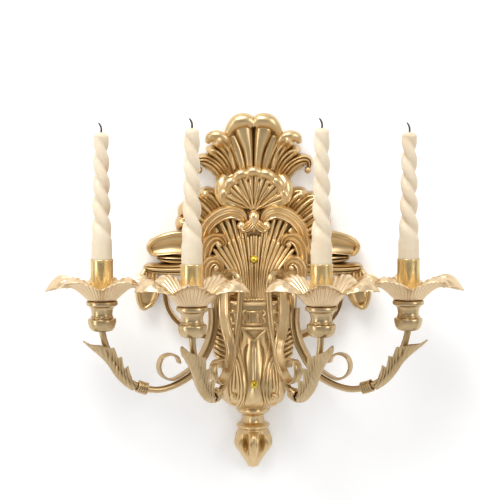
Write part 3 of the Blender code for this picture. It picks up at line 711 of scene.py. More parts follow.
def pan_surface(v, angle, turn):
    """Radius and height of the pan's sheet; v runs from its base to its rim."""
    wave = (0.5 + 0.5 * np.cos(5.0 * (angle - math.radians(turn)))) ** 0.7
    droop = 1.0 - np.maximum(0.0, np.cos(angle)) ** 1.5
    sag = np.minimum(10.0, 15.0 * droop * np.sin(0.5 * angle) ** 2) if turn else 2.5 * droop
    zero = np.zeros_like(angle)
    petal = np.array([(15.0 + zero, 36.0 + zero), (24.0 + zero, 46.5 + zero),
                      (34.0 + zero, 56.5 + zero),
                      (43.0 + droop, 61.5 + 3.0 * droop - 0.45 * sag),
                      (47.0 + 7.0 * droop, 61.8 + 0.5 * droop - 0.75 * sag),
                      (50.0 + 12.0 * droop, 61.0 - 8.0 * droop - sag)])
    notch = np.array([(15.0, 36.0), (20.0, 41.0), (25.0, 45.5), (29.5, 48.5), (33.0, 50.0),
                      (36.0, 50.0)])[:, :, None]
    both = petal * wave + notch * (1.0 - wave)
    place = v * 5.0
    low = min(int(place), 4)
    part = place - low
    a, b, c, d = both[max(low - 1, 0)], both[low], both[low + 1], both[min(low + 2, 5)]
    return 0.5 * (2.0 * b + (c - a) * part + (2.0 * a - 5.0 * b + 4.0 * c - d) * part ** 2
                  + (3.0 * b - a - 3.0 * c + d) * part ** 3)


def pan_piece(arm):
    """Five-petal pan with rounded flutes out to a thin scalloped rim."""
    columns = FLUTES * 12
    angle = 2.0 * np.pi * np.arange(columns) / columns
    phase = 0.5 * FLUTES * (angle - math.radians(arm.spec["pan_turn"]))
    flute = np.sqrt(np.abs(np.cos(phase)))
    radial = np.stack([np.sin(angle), -np.cos(angle)])
    steps = np.linspace(0.0, 1.0, 30)
    rings = []

    def ring(radius, height):
        x, y = arm.cup[:, None] + radial * radius
        rings.append(np.stack([x, y, height + np.zeros(columns)], axis=1))

    def skin(v, rise):
        radius, height = pan_surface(v, angle, arm.spec["pan_turn"])
        depth = 1.5 * min(1.0, 0.10 + 2.2 * v)
        lift = depth * (0.6 - flute)
        ring(radius - 0.6 * lift * (1.0 - 0.6 * v) + 0.5 * flute * v ** 8,
             height + rise + lift * (0.8 - 0.35 * v ** 4))

    ring(2.3, 36.9)
    ring(14.0, 36.9)
    for v in steps:
        skin(v, 0.8)
    for v in steps[::-1]:
        skin(v, -0.2)
    ring(2.3, 35.8)
    make_piece(arm.name + "_petal_pan", lofted(rings, closed_ends=False), pan_gold, "root",
               [arm.name + "_drip_pan"], 75.0)


def socket_piece(arm):
    profile = ((2.4, 37.15), (11.5, 37.15), (11.9, 37.6), (11.75, 38.6), (11.8, 40.0),
               (11.8, 76.6), (12.0, 77.2), (12.1, 78.2), (11.9, 78.9), (11.6, 79.0),
               (11.45, 78.6), (11.4, 77.0), (11.4, 38.1), (2.4, 38.1))
    shape = turned(rounded(profile, 0.3, 2), arm.cup, 96, closed=True)
    make_piece(arm.name + "_brass_socket", shape, brass, "root", [arm.name + "_socket"])


CANDLE_PITCH = 45.0


def candle_piece(arm, body):
    """Straight foot, then two strands wound round each other up to a blunt tip."""
    top = arm.spec["candle_top"]
    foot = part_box(arm.name + "_candle")[0][2] / MM
    shoulder = foot + 57.0
    count = 120
    turn = 2.0 * np.pi * np.arange(count) / count
    even = np.zeros(count)
    rings = []

    def ring(radius, height):
        rings.append(np.stack([arm.cup[0] + radius * np.cos(turn),
                               arm.cup[1] + radius * np.sin(turn), height + even], axis=1))

    ring(10.2 + even, foot)
    ring(11.0 + even, foot + 0.8)
    for height in np.linspace(foot + 6.0, shoulder - 2.0, 12):
        ring(11.1 - 0.3 * (height - foot) / 57.0 + even, height)
    for i in range(150):
        share = i / 149.0
        height = shoulder + (top - 4.0 - shoulder) * share
        radius = 10.8 + (8.0 - 10.8) * share ** 0.8
        wound = min(1.0, share * 6.0) * min(1.0, (1.0 - share) * 7.0 + 0.25)
        phase = turn + 2.0 * np.pi * height / CANDLE_PITCH
        apart = np.abs(np.mod(phase, np.pi) - 0.5 * np.pi)
        groove = 2.0 * np.exp(-(apart / 0.50) ** 2) + 1.7 * np.cos(apart) ** 2
        ring(radius - wound * groove * radius / 10.0, height)
    for i in range(1, 9):
        bend = 0.5 * math.pi * i / 8.0
        ring(1.2 + (7.6 - 1.2) * math.cos(bend) + even, top - 4.0 + 4.0 * math.sin(bend))
    ring(1.0 + even, top - 1.2)
    make_piece(arm.name + "_twisted_candle", lofted(rings), wax, body, [arm.name + "_candle"],
               80.0)


def wick_piece(arm, body):
    """Charred wick that bends over to one side."""
    top = arm.spec["candle_top"]
    route = spline([(0.0, 0.0, top - 3.6, 1.0), (0.3, 0.0, top + 1.8, 1.0),
                    (0.1, 0.2, top + 4.8, 1.0), (-1.0, 0.4, top + 7.6, 0.9),
                    (-2.6, 0.6, top + 9.9, 0.6)], 34)
    route[:, 0] += arm.cup[0]
    route[:, 1] += arm.cup[1]
    radii = route[:, 3] * (1.0 + 0.12 * np.sin(np.arange(34) * 1.9))
    shape = swept(route[:, :3], radii, 12)
    make_piece(arm.name + "_bent_wick", shape, wick, body, [arm.name + "_wick"])


for kind in ARMS:
    for hand in SIDES:
        arm = Arm(kind, hand)
        rod_piece(arm)
        scroll_piece(arm)
        binding_piece(arm)
        leaf_piece(arm)
        cup_piece(arm)
        pan_piece(arm)
        socket_piece(arm)
        candle_piece(arm, arm.name + "_taper")
        wick_piece(arm, arm.name + "_taper")


# ---------------------------------------------------------------- the cast backplate

HOLLOW_FRONT = -23.0
VASE_ROWS = ((4.0, 19.0, 44.0), (-14.0, 20.0, 44.0), (-34.0, 25.0, 47.0), (-56.0, 31.0, 49.0),
             (-76.0, 35.0, 46.0), (-85.0, 30.0, 38.0), (-91.0, 17.0, 26.0))


def vase_at(z):
    """Half width and depth of the vase's barrel at a height."""
    rows = np.array(VASE_ROWS)[::-1]
    return np.interp(z, rows[:, 0], rows[:, 1]), np.interp(z, rows[:, 0], rows[:, 2])


def on_vase(points, sink=0.35):
    """Bar controls (x, y, z, r) laid on the vase from (x, z, r) rows."""
    laid = []
    for x, z, radius in points:
        width, depth = vase_at(z)
        turn = math.acos(max(-0.98, min(0.98, x / width)))
        out = np.array([depth * math.cos(turn), width * math.sin(turn)])
        out /= np.linalg.norm(out)
        lift = radius * (1.0 - 2.0 * sink)
        laid.append((width * math.cos(turn) + out[0] * lift,
                     -1.5 - depth * math.sin(turn) - out[1] * lift, z, radius))
    return laid


def outline_body(half, front, back, height):
    """Cushion from its right half outline, top to bottom on the centre line."""
    full = [*half, *((-x, z) for x, z in reversed(half) if x > 0.0)]
    return field(full, height, front, back)


def base_casting():
    """The body behind the relief: cushions joined into one skin, hollow at the back."""
    shapes = [
        outline_body(((0.0, 150.0), (30.0, 146.0), (42.0, 136.0), (60.0, 122.0), (66.0, 108.0),
                      (56.0, 92.0), (50.0, 70.0), (48.5, 44.0), (42.0, 6.0), (34.0, -30.0),
                      (0.0, -40.0)), -12.0, 2.0, 8.0),
        outline_body(((0.0, 214.0), (11.0, 221.0), (23.0, 215.0), (26.0, 204.0), (22.0, 184.0),
                      (16.0, 164.0), (0.0, 140.0)), -12.0, 2.0, 6.0),
        outline_body(((0.0, 164.0), (14.0, 163.0), (24.0, 160.0), (31.0, 152.0), (32.0, 140.0),
                      (22.0, 131.0), (0.0, 124.0)), -18.0, 2.0, 8.0),
        outline_body(((0.0, 117.0), (22.0, 111.0), (33.0, 97.0), (29.0, 70.0), (21.0, 45.0),
                      (17.0, 20.0), (0.0, 14.0)), -22.0, 2.0, 7.0),
        half_round(VASE_ROWS, 60, 2.0),
    ]
    sides = [
        field(((18.0, 158.0), (26.0, 186.0), (36.0, 199.0), (44.0, 200.0), (43.0, 190.0),
               (36.0, 170.0), (27.0, 148.0)), 5.0, -10.0, 2.0),
        field(((26.0, 144.0), (36.0, 163.0), (46.0, 173.0), (55.0, 175.0), (54.0, 170.0),
               (46.0, 165.0), (40.0, 156.0), (33.0, 138.0)), 4.0, -9.0, 2.0),
        field(((34.0, 138.0), (52.0, 139.0), (66.0, 130.0), (76.0, 117.0), (73.0, 103.0),
               (62.0, 94.0), (44.0, 104.0)), 5.0, -7.0, 2.0),
        field(((46.0, 82.0), (66.0, 94.0), (82.0, 97.0), (99.0, 92.0), (109.0, 84.0),
               (105.0, 78.0), (88.0, 72.0), (60.0, 64.0)), 3.0, -8.0, 2.0),
        field(((42.0, 50.0), (80.0, 53.0), (102.0, 54.0), (114.0, 60.0), (112.0, 65.0),
               (96.0, 67.0), (70.0, 66.0), (42.0, 70.0)), 6.0, -9.0, 2.0),
        field(((103.0, 56.0), (114.0, 60.0), (122.0, 45.0), (121.0, 27.0), (117.5, 20.0),
               (109.0, 25.0), (104.0, 38.0)), 3.0, -8.0, 2.0),
        field(((30.0, 10.0), (41.0, 6.0), (44.0, -8.0), (41.0, -26.0), (34.0, -50.0),
               (20.0, -58.0)), 8.0, -10.0, 2.0),
    ]
    shapes += both_sides(sides)
    for sign in (1.0, -1.0):
        low, high = sorted((sign * 19.2, sign * 51.6))
        shapes.append(brick((low, -29.6, 33.4), (high, 2.0, 64.4)))
    shapes.append(brick((-26.0, -44.0, -2.5), (26.0, 2.0, 29.0)))
    piece = make_piece("backplate_casting", joined(shapes), cast_gold, "root", ["backplate"])
    remesh = piece.modifiers.new("skin", "REMESH")
    remesh.mode = "VOXEL"
    remesh.voxel_size = 1.3 * MM
    smooth = piece.modifiers.new("ease", "SMOOTH")
    smooth.iterations = 3
    hollow_out(piece)


def hollow_out(piece):
    """Cuts the flat back, the arm seat and the strap and stud hollows out of the casting."""
    tools = joined([brick((-150.0, -0.5, -180.0), (150.0, 20.0, 250.0)),
                    brick((-48.9, -22.0, 35.1), (48.9, 25.0, 62.3)),
                    brick((-20.0, -21.2, -74.0), (20.0, 27.0, 90.0)),
                    brick((-13.0, -36.0, -70.6), (13.0, 23.0, 0.8))])
    cutter_mesh = bpy.data.meshes.new("hollows")
    cutter_mesh.from_pydata((tools[0] * MM).tolist(), [], tools[1])
    fix_outward(cutter_mesh)
    cutter = bpy.data.objects.new("hollows", cutter_mesh)
    bpy.context.scene.collection.objects.link(cutter)
    cut = piece.modifiers.new("cut", "BOOLEAN")
    cut.operation = "DIFFERENCE"
    cut.solver = "EXACT"
    cut.use_self = True
    cut.object = cutter
    bpy.context.view_layer.update()
    finished = bpy.data.meshes.new_from_object(
        piece.evaluated_get(bpy.context.evaluated_depsgraph_get()))
    piece.modifiers.clear()
    piece.data = finished
    finished.shade_smooth()
    finished.set_sharp_from_angle(angle=math.radians(50.0))
    bpy.data.objects.remove(cutter)


def brick(low, high):
    corners = np.array([(x, y, z) for x in (low[0], high[0]) for y in (low[1], high[1])
                        for z in (low[2], high[2])], float)
    faces = [[0, 1, 3, 2], [4, 6, 7, 5], [0, 4, 5, 1], [2, 3, 7, 6], [0, 2, 6, 4], [1, 5, 7, 3]]
    return corners, faces


def ornament(name, shapes, finish=cast_gold):
    make_piece(name, joined(shapes), finish, "root", [], 60.0)


def ridge(points, edge, height, width, **options):
    """Reed along (x, z) points with one depth, height and half width."""
    return lobe([(x, z, edge, width, height) for x, z in points], reed, 30, 13, **options)


def crest():
    """Heart of two rolled petals over broad ridges, with three curled leaves a side."""
    leaf = plump(0.30, depth=0.34, spread=0.13)
    right = [
        bar([(0.8, -25.0, 216.5, 6.0), (7.5, -25.5, 220.5, 7.8), (17.0, -25.0, 219.0, 8.0),
             (24.5, -23.5, 212.0, 5.6), (28.2, -21.5, 202.5, 3.4), (26.5, -20.5, 190.0, 2.2),
             (20.5, -20.0, 168.0, 1.8)], 70, 24),
        lobe([(3.0, 150.0, -18.0, 3.2, 4.0), (4.2, 172.0, -17.5, 4.4, 6.5),
              (6.0, 190.0, -17.0, 6.2, 9.0), (10.4, 208.0, -16.0, 10.6, 12.0),
              (12.5, 216.0, -16.0, 11.6, 12.0)], plump(), 50, 33, tip=0.94),
        lobe([(8.6, 150.0, -16.0, 3.4, 4.0), (12.4, 172.0, -15.5, 4.8, 5.5),
              (17.6, 190.0, -15.0, 5.8, 7.5), (24.0, 206.0, -14.0, 5.6, 9.0)], plump(), 50, 25,
             tip=0.94),
        lobe([(16.5, 160.0, -12.0, 4.0, 5.0), (21.5, 178.0, -12.5, 6.5, 9.0),
              (28.0, 191.0, -13.0, 8.6, 12.5), (36.5, 199.0, -13.0, 9.0, 15.0),
              (47.0, 204.0, -11.0, 6.4, 14.0)], lipped(leaf, 0.80, 0.10, 0.34), 60, 35,
             tip=0.78),
        bar([(25.5, -21.0, 194.0, 2.4), (30.0, -24.5, 201.0, 4.4), (38.0, -25.0, 204.4, 5.6),
             (46.0, -23.0, 203.0, 5.0), (49.5, -20.0, 197.0, 3.0)], 44, 20),
        lobe([(22.0, 158.0, -9.0, 4.0, 5.0), (31.0, 176.0, -10.0, 5.6, 9.0),
              (41.0, 186.0, -10.5, 6.4, 12.5), (51.0, 191.0, -9.0, 4.6, 11.0)],
             lipped(plump(0.0, depth=0.32, spread=0.16), 0.86, 0.09, 0.30), 50, 31, tip=0.78),
        lobe([(26.0, 150.0, -7.0, 5.0, 5.0), (34.0, 164.5, -8.0, 6.4, 10.0),
              (42.0, 173.5, -9.0, 6.6, 12.5), (51.0, 178.2, -9.5, 6.2, 13.0),
              (58.6, 177.0, -9.0, 5.2, 12.5), (60.4, 168.6, -8.0, 3.4, 10.0)],
             plump(0.30, depth=0.24, spread=0.14), 60, 31, tip=0.9),
        ball((58.6, -13.5, 167.0), 4.0),
    ]
    ornament("crest_relief", both_sides(right))


def rolled_edge(angle, radius, centre, half, fat, y):
    """Rolled scallop set across a fan at an angle from upright, its ends sunk and turned in."""
    out = np.array([math.sin(angle), math.cos(angle)])
    across = np.array([out[1], -out[0]])
    rows = []
    for s, drop, depth, share in ((-1.0, 8.6, 1.6, 0.24), (-0.72, 2.0, 0.6, 0.80),
                                  (0.0, 0.0, 0.0, 1.0), (0.72, 2.0, 0.6, 0.80),
                                  (1.0, 8.6, 1.6, 0.24)):
        x, z = np.array(centre) + out * (radius - drop) + across * half * s
        rows.append((x, y + depth, z, fat * share))
    return bar(rows, 36, 18)


def collar():
    """Fan of rolled scallops under the crest, with plump side rolls."""
    shapes = []
    centre = (0.0, 127.0)
    for degrees, length, y in ((0, 40.0, -36.5), (21, 39.6, -35.5), (43, 38.0, -33.5),
                               (66, 36.0, -30.5)):
        turn = math.radians(degrees)
        roll = rolled_edge(turn, length, centre, 8.2, 5.6, y)
        spine = [(r * math.sin(turn), 125.0 + r * math.cos(turn), edge, width, height)
                 for r, edge, width, height in ((2.0, -27.0, 1.5, 4.0), (14.0, -26.0, 4.0, 5.6),
                                                (26.0, -25.5, 6.6, 7.5),
                                                (0.96 * length, -25.0, 8.2, 9.5))]
        rib = lobe(spine, plump(0.0, depth=0.34, spread=0.12), 40, 23, tip=0.97)
        shapes += [roll, rib] if degrees == 0 else both_sides([roll, rib])
    for degrees in (10.5, 32.0, 54.5):
        turn = math.radians(degrees)
        shapes += both_sides([ridge([(r * math.sin(turn), 124.0 + r * math.cos(turn))
                                     for r in (3.0, 12.0, 22.0, 33.0)], -27.0, 6.0, 1.9,
                                    tip=0.85)])
    shapes += both_sides([
        bar([(30.0, -19.0, 160.0, 6.0), (33.4, -21.5, 153.5, 7.6), (34.0, -23.0, 145.5, 8.2),
             (32.0, -25.0, 137.5, 7.4), (26.0, -27.5, 131.0, 5.6), (18.0, -29.0, 127.0, 3.0)],
            60, 24)])
    ornament("collar_relief", shapes)


def shoulders():
    """Four folded leaves fanning from behind the collar on each side."""
    right = []
    leaf = lipped(plump(0.34, depth=0.30, spread=0.13), 0.84, 0.10, 0.26)
    for spine, push in ((((30.0, 118.0), (40.0, 134.0), (50.0, 141.0), (60.0, 138.0)), 0.0),
                        (((38.0, 112.0), (52.0, 128.0), (64.0, 136.0), (74.0, 130.0)), 1.2),
                        (((44.0, 104.0), (60.0, 118.0), (72.0, 124.5), (80.0, 116.5)), 0.4),
                        (((48.0, 94.0), (64.0, 106.0), (75.0, 111.0), (81.5, 102.0)), 1.6)):
        rows = [(x, z, edge, width, height) for (x, z), edge, width, height in
                zip(spine, (-12.0, -11.0, -9.0, -7.0), (7.0, 8.8, 8.2, 5.2),
                    (9.0 + push, 13.0 + push, 13.5 + push, 10.0))]
        right.append(lobe(rows, leaf, 56, 33, tip=0.74))
    right.append(lobe([(40.0, 100.0, -12.0, 7.0, 8.0), (54.0, 112.0, -12.0, 8.0, 9.0),
                       (66.0, 122.0, -10.0, 5.0, 7.0)], leaf, 40, 29, tip=0.8))
    ornament("shoulder_relief", both_sides(right))


def scrolls():
    """Moulded C-scrolls with balls in their eyes, and the two volutes inside them."""
    widths = (6.0, 7.6, 8.4, 8.4, 8.0, 7.4, 6.6, 5.8, 5.0, 4.2)
    spine = ((9.0, 111.0), (13.6, 119.2), (23.0, 123.0), (33.0, 120.8), (43.0, 114.6),
             (50.4, 105.4), (54.0, 94.0), (54.6, 82.1), (53.0, 70.2), (50.8, 61.7))
    edges = (-28.0, -28.0, -27.0, -25.5, -23.5, -21.5, -19.5, -18.0, -16.5, -15.0)
    heights = (8.0, 10.0, 11.5, 11.5, 11.0, 10.5, 10.0, 9.0, 8.0, 7.5)
    big = lobe([(x, z, e, w, h) for (x, z), e, w, h in zip(spine, edges, widths, heights)],
               moulded, 90, 33, tip=0.95, root=0.08)
    one = lobe([(x, z, e, w, h) for (x, z), e, w, h in zip(
        ((52.4, 64.0), (52.0, 77.0), (48.6, 88.5), (42.6, 94.6), (36.4, 94.8), (32.6, 90.4),
         (34.4, 86.4)), (-22.0, -22.5, -23.5, -24.5, -25.5, -25.5, -25.5),
        (6.2, 7.6, 8.2, 7.6, 6.4, 5.0, 3.4), (9.5, 11.0, 12.0, 12.0, 12.0, 11.0, 9.0))],
        moulded, 70, 27, tip=0.95, back=HOLLOW_FRONT + 8.0)
    two = lobe([(x, z, e, w, h) for (x, z), e, w, h in zip(
        ((51.0, 52.0), (50.6, 63.0), (46.4, 69.6), (40.6, 70.9), (36.2, 67.3), (35.2, 62.4),
         (38.2, 59.4)), (-28.0,) * 7, (6.2, 7.2, 7.0, 6.2, 5.2, 4.2, 3.0),
        (8.0, 9.2, 9.8, 9.8, 9.4, 8.8, 7.4))], moulded, 64, 27, tip=0.95, back=HOLLOW_FRONT)
    leaf = plump(0.0, 0.5, depth=0.28, spread=0.12)
    right = [big, one, two, ball((13.0, -33.0, 108.6), 5.2), ball((37.2, -31.5, 88.4), 3.4),
             ball((40.2, -33.0, 63.4), 3.2),
             lobe([(1.0, 113.0, -34.0, 4.6, 6.0), (7.0, 107.6, -33.0, 5.8, 9.5),
                   (14.5, 102.6, -31.0, 3.8, 7.5)], lipped(leaf, 0.88, 0.08, 0.25), 36, 25),
             lobe([(43.0, 90.0, -22.0, 4.0, 5.0), (46.0, 100.0, -22.0, 5.0, 7.0),
                   (42.0, 108.0, -23.0, 3.0, 6.0)], leaf, 36, 25, back=HOLLOW_FRONT + 8.0)]
    shapes = both_sides(right)
    shapes += [bar([(0.0, -33.0, 124.5, 2.6), (0.0, -36.5, 119.5, 5.4),
                    (0.0, -36.0, 113.0, 4.6), (0.0, -34.0, 108.0, 2.0)], 30, 20),
               bar([(0.0, -33.0, 112.0, 4.2), (0.0, -32.0, 106.5, 3.2), (0.0, -30.0, 101.5, 1.4)],
                   24, 16)]
    # The scrolls take the lightened gold: painted light over their shade.
    ornament("scroll_relief", shapes, lit_scroll_gold)


def reeds():
    """Two layers of reeds that fan up out of the belt."""
    front = ((44.0, 84.6), (39.0, 88.0), (33.1, 89.7), (27.6, 92.2), (22.6, 96.0),
             (17.0, 99.0), (12.0, 96.0), (6.6, 99.0), (2.9, 100.0))
    behind = ((45.5, 97.0), (42.0, 107.0), (36.5, 114.0), (30.0, 118.0), (22.5, 118.0),
              (15.5, 113.0), (9.4, 106.0))
    shapes = []
    for tops, base, rise in ((front, -31.0, 3.6), (behind, -28.6, 3.0)):
        for i, (x, z) in enumerate(tops):
            foot = 13.4 * (1.0 - (i + (0.0 if tops is front else 0.5)) / 9.0)
            width = 2.9 if i < 6 else 2.1
            spine = [(foot, 27.0, -38.0, 0.8, 2.0),
                     (foot + (x - foot) * 0.34, 30.0 + (z - 30.0) * 0.5, base - 2.5,
                      0.55 * (0.8 + width), rise),
                     (foot + (x - foot) * 0.68, 30.0 + (z - 30.0) * 0.78,
                      base + 0.10 * max(0.0, x - 20.0), 0.88 * width, rise + 0.4),
                     (x, z, base + 2.5 + 0.12 * max(0.0, x - 20.0), width, rise + 0.8)]
            shapes.append(lobe(spine, reed, 46, 15, tip=0.95, back=HOLLOW_FRONT))
    shapes = both_sides(shapes)
    shapes.append(lobe([(0.0, 27.0, -38.0, 0.8, 2.2), (0.0, 60.0, -32.5, 1.3, 3.0),
                        (0.0, 100.0, -28.5, 1.8, 4.0)], reed, 46, 15, tip=0.96,
                       back=HOLLOW_FRONT))
    shapes.append(bar([(-4.8, -34.0, 79.0, 0.9), (-5.2, -34.6, 73.5, 1.1), (-3.4, -34.8, 68.8, 1.1),
                       (0.0, -35.0, 67.2, 1.1), (3.4, -34.8, 68.8, 1.1), (5.2, -34.6, 73.5, 1.1),
                       (4.8, -34.0, 79.0, 0.9)], 36, 12))
    ornament("reed_relief", shapes)


def belt():
    """Buckle between reeds and vase: beads, mouldings, a small panel and side barrels."""
    shapes = [ball((-12.0 + 3.0 * i, -43.5, 30.2), 1.75) for i in range(9)]
    shapes.append(bar([(-26.0, -36.0, 25.5, 1.6), (-22.0, -43.0, 25.5, 1.7),
                       (-10.0, -45.5, 25.5, 1.8), (10.0, -45.5, 25.5, 1.8),
                       (22.0, -43.0, 25.5, 1.7), (26.0, -36.0, 25.5, 1.6)], 40, 12))
    shapes.append(bar([(-26.5, -36.0, -0.5, 1.8), (-22.0, -43.0, -0.5, 2.0),
                       (-10.0, -45.5, -0.5, 2.0), (10.0, -45.5, -0.5, 2.0),
                       (22.0, -43.0, -0.5, 2.0), (26.5, -36.0, -0.5, 1.8)], 40, 12))
    for z in (17.5, 4.0):
        shapes.append(bar([(-8.5, -44.5, z, 1.3), (0.0, -46.0, z, 1.5), (8.5, -44.5, z, 1.3)],
                          24, 12))
    shapes.append(lobe([(0.0, 5.0, -43.0, 6.2, 2.6), (0.0, 11.0, -43.0, 6.6, 3.2),
                        (0.0, 17.0, -43.0, 6.2, 2.6)], cupped, 24, 25, tip=0.95, root=0.05,
                       back=-37.0))
    side = [bar([(9.0, -43.5, 19.0, 1.2), (12.0, -44.5, 15.5, 1.5), (9.2, -45.0, 12.0, 1.5),
                 (12.0, -44.8, 8.0, 1.5), (9.4, -43.5, 4.2, 1.2)], 36, 12),
            bar([(17.0, -42.5, 21.0, 0.9), (15.8, -43.5, 11.5, 1.1), (17.0, -42.5, 2.5, 0.9)],
                20, 10)]
    profile = ((3.0, 3.4), (4.8, 4.2), (4.9, 5.4), (3.9, 6.2), (4.3, 8.0), (4.5, 11.0),
               (4.3, 14.0), (3.9, 16.6), (4.9, 17.6), (4.8, 18.8), (3.0, 19.6))
    side.append(turned(rounded(profile, 0.6, 2), (22.3, -41.0), 40))
    side.append(bar([(12.0, -46.0, -2.6, 1.5), (6.0, -47.0, -8.0, 1.6), (0.0, -47.6, -13.4, 1.8)],
                    24, 12))
    shapes += both_sides(side)
    shapes.append(lobe([(0.0, -2.5, -44.0, 9.5, 1.6), (0.0, -7.0, -44.6, 5.4, 2.0),
                        (0.0, -12.0, -45.0, 1.2, 1.6)], reed, 20, 19, back=-37.0))
    ornament("belt_relief", shapes)


def facet(s, t):
    """Two flat planes that meet in a ridge, inside a thin raised rim."""
    rim = np.exp(-((np.abs(s) - 0.93) / 0.06) ** 2)
    roof = 0.18 + 0.60 * (1.0 - np.abs(s))
    return roof + 0.42 * rim


def vase():
    """Facet field down the front of the vase, with nested drops and ribbed feathers beside."""
    shapes = [lobe([(0.0, -14.0, -40.0, 9.0, 8.0), (0.0, -30.0, -41.5, 12.0, 9.0),
                    (0.0, -46.0, -44.5, 9.6, 8.0), (0.0, -62.0, -46.0, 7.6, 6.8),
                    (0.0, -76.0, -43.0, 10.0, 7.6), (0.0, -88.0, -32.0, 12.5, 6.0)], facet, 60,
                   33, tip=0.93, root=0.12, back=-37.0)]
    side = []
    for width, length, radius in ((9.0, 26.5, 1.7), (5.2, 20.0, 1.5)):
        loop = []
        for i in range(18):
            turn = 2.0 * math.pi * i / 18.0
            pinch = 0.55 + 0.45 * (0.5 - 0.5 * math.sin(turn))
            loop.append((19.8 + width * math.cos(turn) * pinch,
                         -58.5 + length * math.sin(turn), radius))
        laid = on_vase([*loop, loop[0]])
        side.append(bar(laid, 120, 12))
    bead = on_vase([(20.5, -74.0, 4.0)], 0.3)[0]
    side.append(ball(bead[:3], 4.2))
    side.append(bar(on_vase([(19.8, -40.0, 0.8), (20.2, -55.0, 1.4), (20.4, -66.0, 1.8)]), 24,
                    12))
    side.append(bar(on_vase([(13.4, -3.0, 1.3), (16.0, -16.0, 1.4), (13.6, -32.0, 1.2),
                             (9.6, -48.0, 1.1), (8.8, -62.0, 1.1), (11.0, -76.0, 1.3),
                             (14.0, -86.0, 1.5)]), 60, 12))
    side.append(bar(on_vase([(18.2, -4.0, 1.1), (18.6, -14.0, 1.4), (21.5, -26.0, 1.6),
                             (27.0, -40.0, 1.5), (30.4, -56.0, 1.5), (33.4, -74.0, 1.8)]), 60,
                    12))
    for i in range(7):
        z = 1.0 - 5.6 * i
        side.append(lobe([(27.0 - 0.2 * i, z - 8.0, -13.0, 2.0, 6.0),
                          (36.0 - 0.2 * i, z - 4.0, -12.0, 3.0, 9.0),
                          (47.0 - 0.7 * i, z + 2.0, -9.0, 2.4, 7.0)], reed, 30, 15, tip=0.74))
    shapes += both_sides(side)
    ornament("vase_relief", shapes)


def finial():
    """Ring, neck and closed bud at the foot, the bud with flutes and sunk drops."""
    rows = ((-85.0, 15.0, 23.0), (-88.5, 17.0, 26.5), (-91.0, 18.2, 28.4), (-93.5, 18.2, 28.4),
            (-96.0, 16.0, 25.5), (-98.0, 12.6, 21.0), (-102.0, 11.8, 19.8), (-106.0, 12.4, 20.4),
            (-108.0, 16.0, 25.0), (-110.0, 18.0, 27.6), (-112.0, 17.6, 27.0),
            (-114.0, 15.6, 25.0), (-117.0, 17.4, 28.5), (-121.0, 18.9, 31.0),
            (-126.0, 19.5, 32.0), (-133.0, 18.4, 30.4), (-141.0, 14.0, 24.6),
            (-149.0, 8.8, 16.6), (-153.5, 6.6, 12.6), (-155.4, 5.4, 10.4))

    def flutes(turn, z):
        share = np.clip((-114.5 - z) / 5.0, 0.0, 1.0)
        ridges = np.abs(np.cos(3.0 * (turn - 0.5 * np.pi)))
        middle = np.exp(-((z + 128.0) / 11.0) ** 2)
        apart = 1.0 - np.abs(np.cos(3.0 * (turn - 0.5 * np.pi + np.pi / 6.0)))
        drop = middle * (np.exp(-((apart - 0.42) / 0.22) ** 2) * 0.10 - 0.20 * (apart < 0.16)
                         * (1.0 - apart / 0.16))
        return share * (0.13 * ridges ** 1.5 - 0.10 + 1.25 * drop)

    ornament("finial_casting", [half_round(rows, 181, -0.5, flutes)])


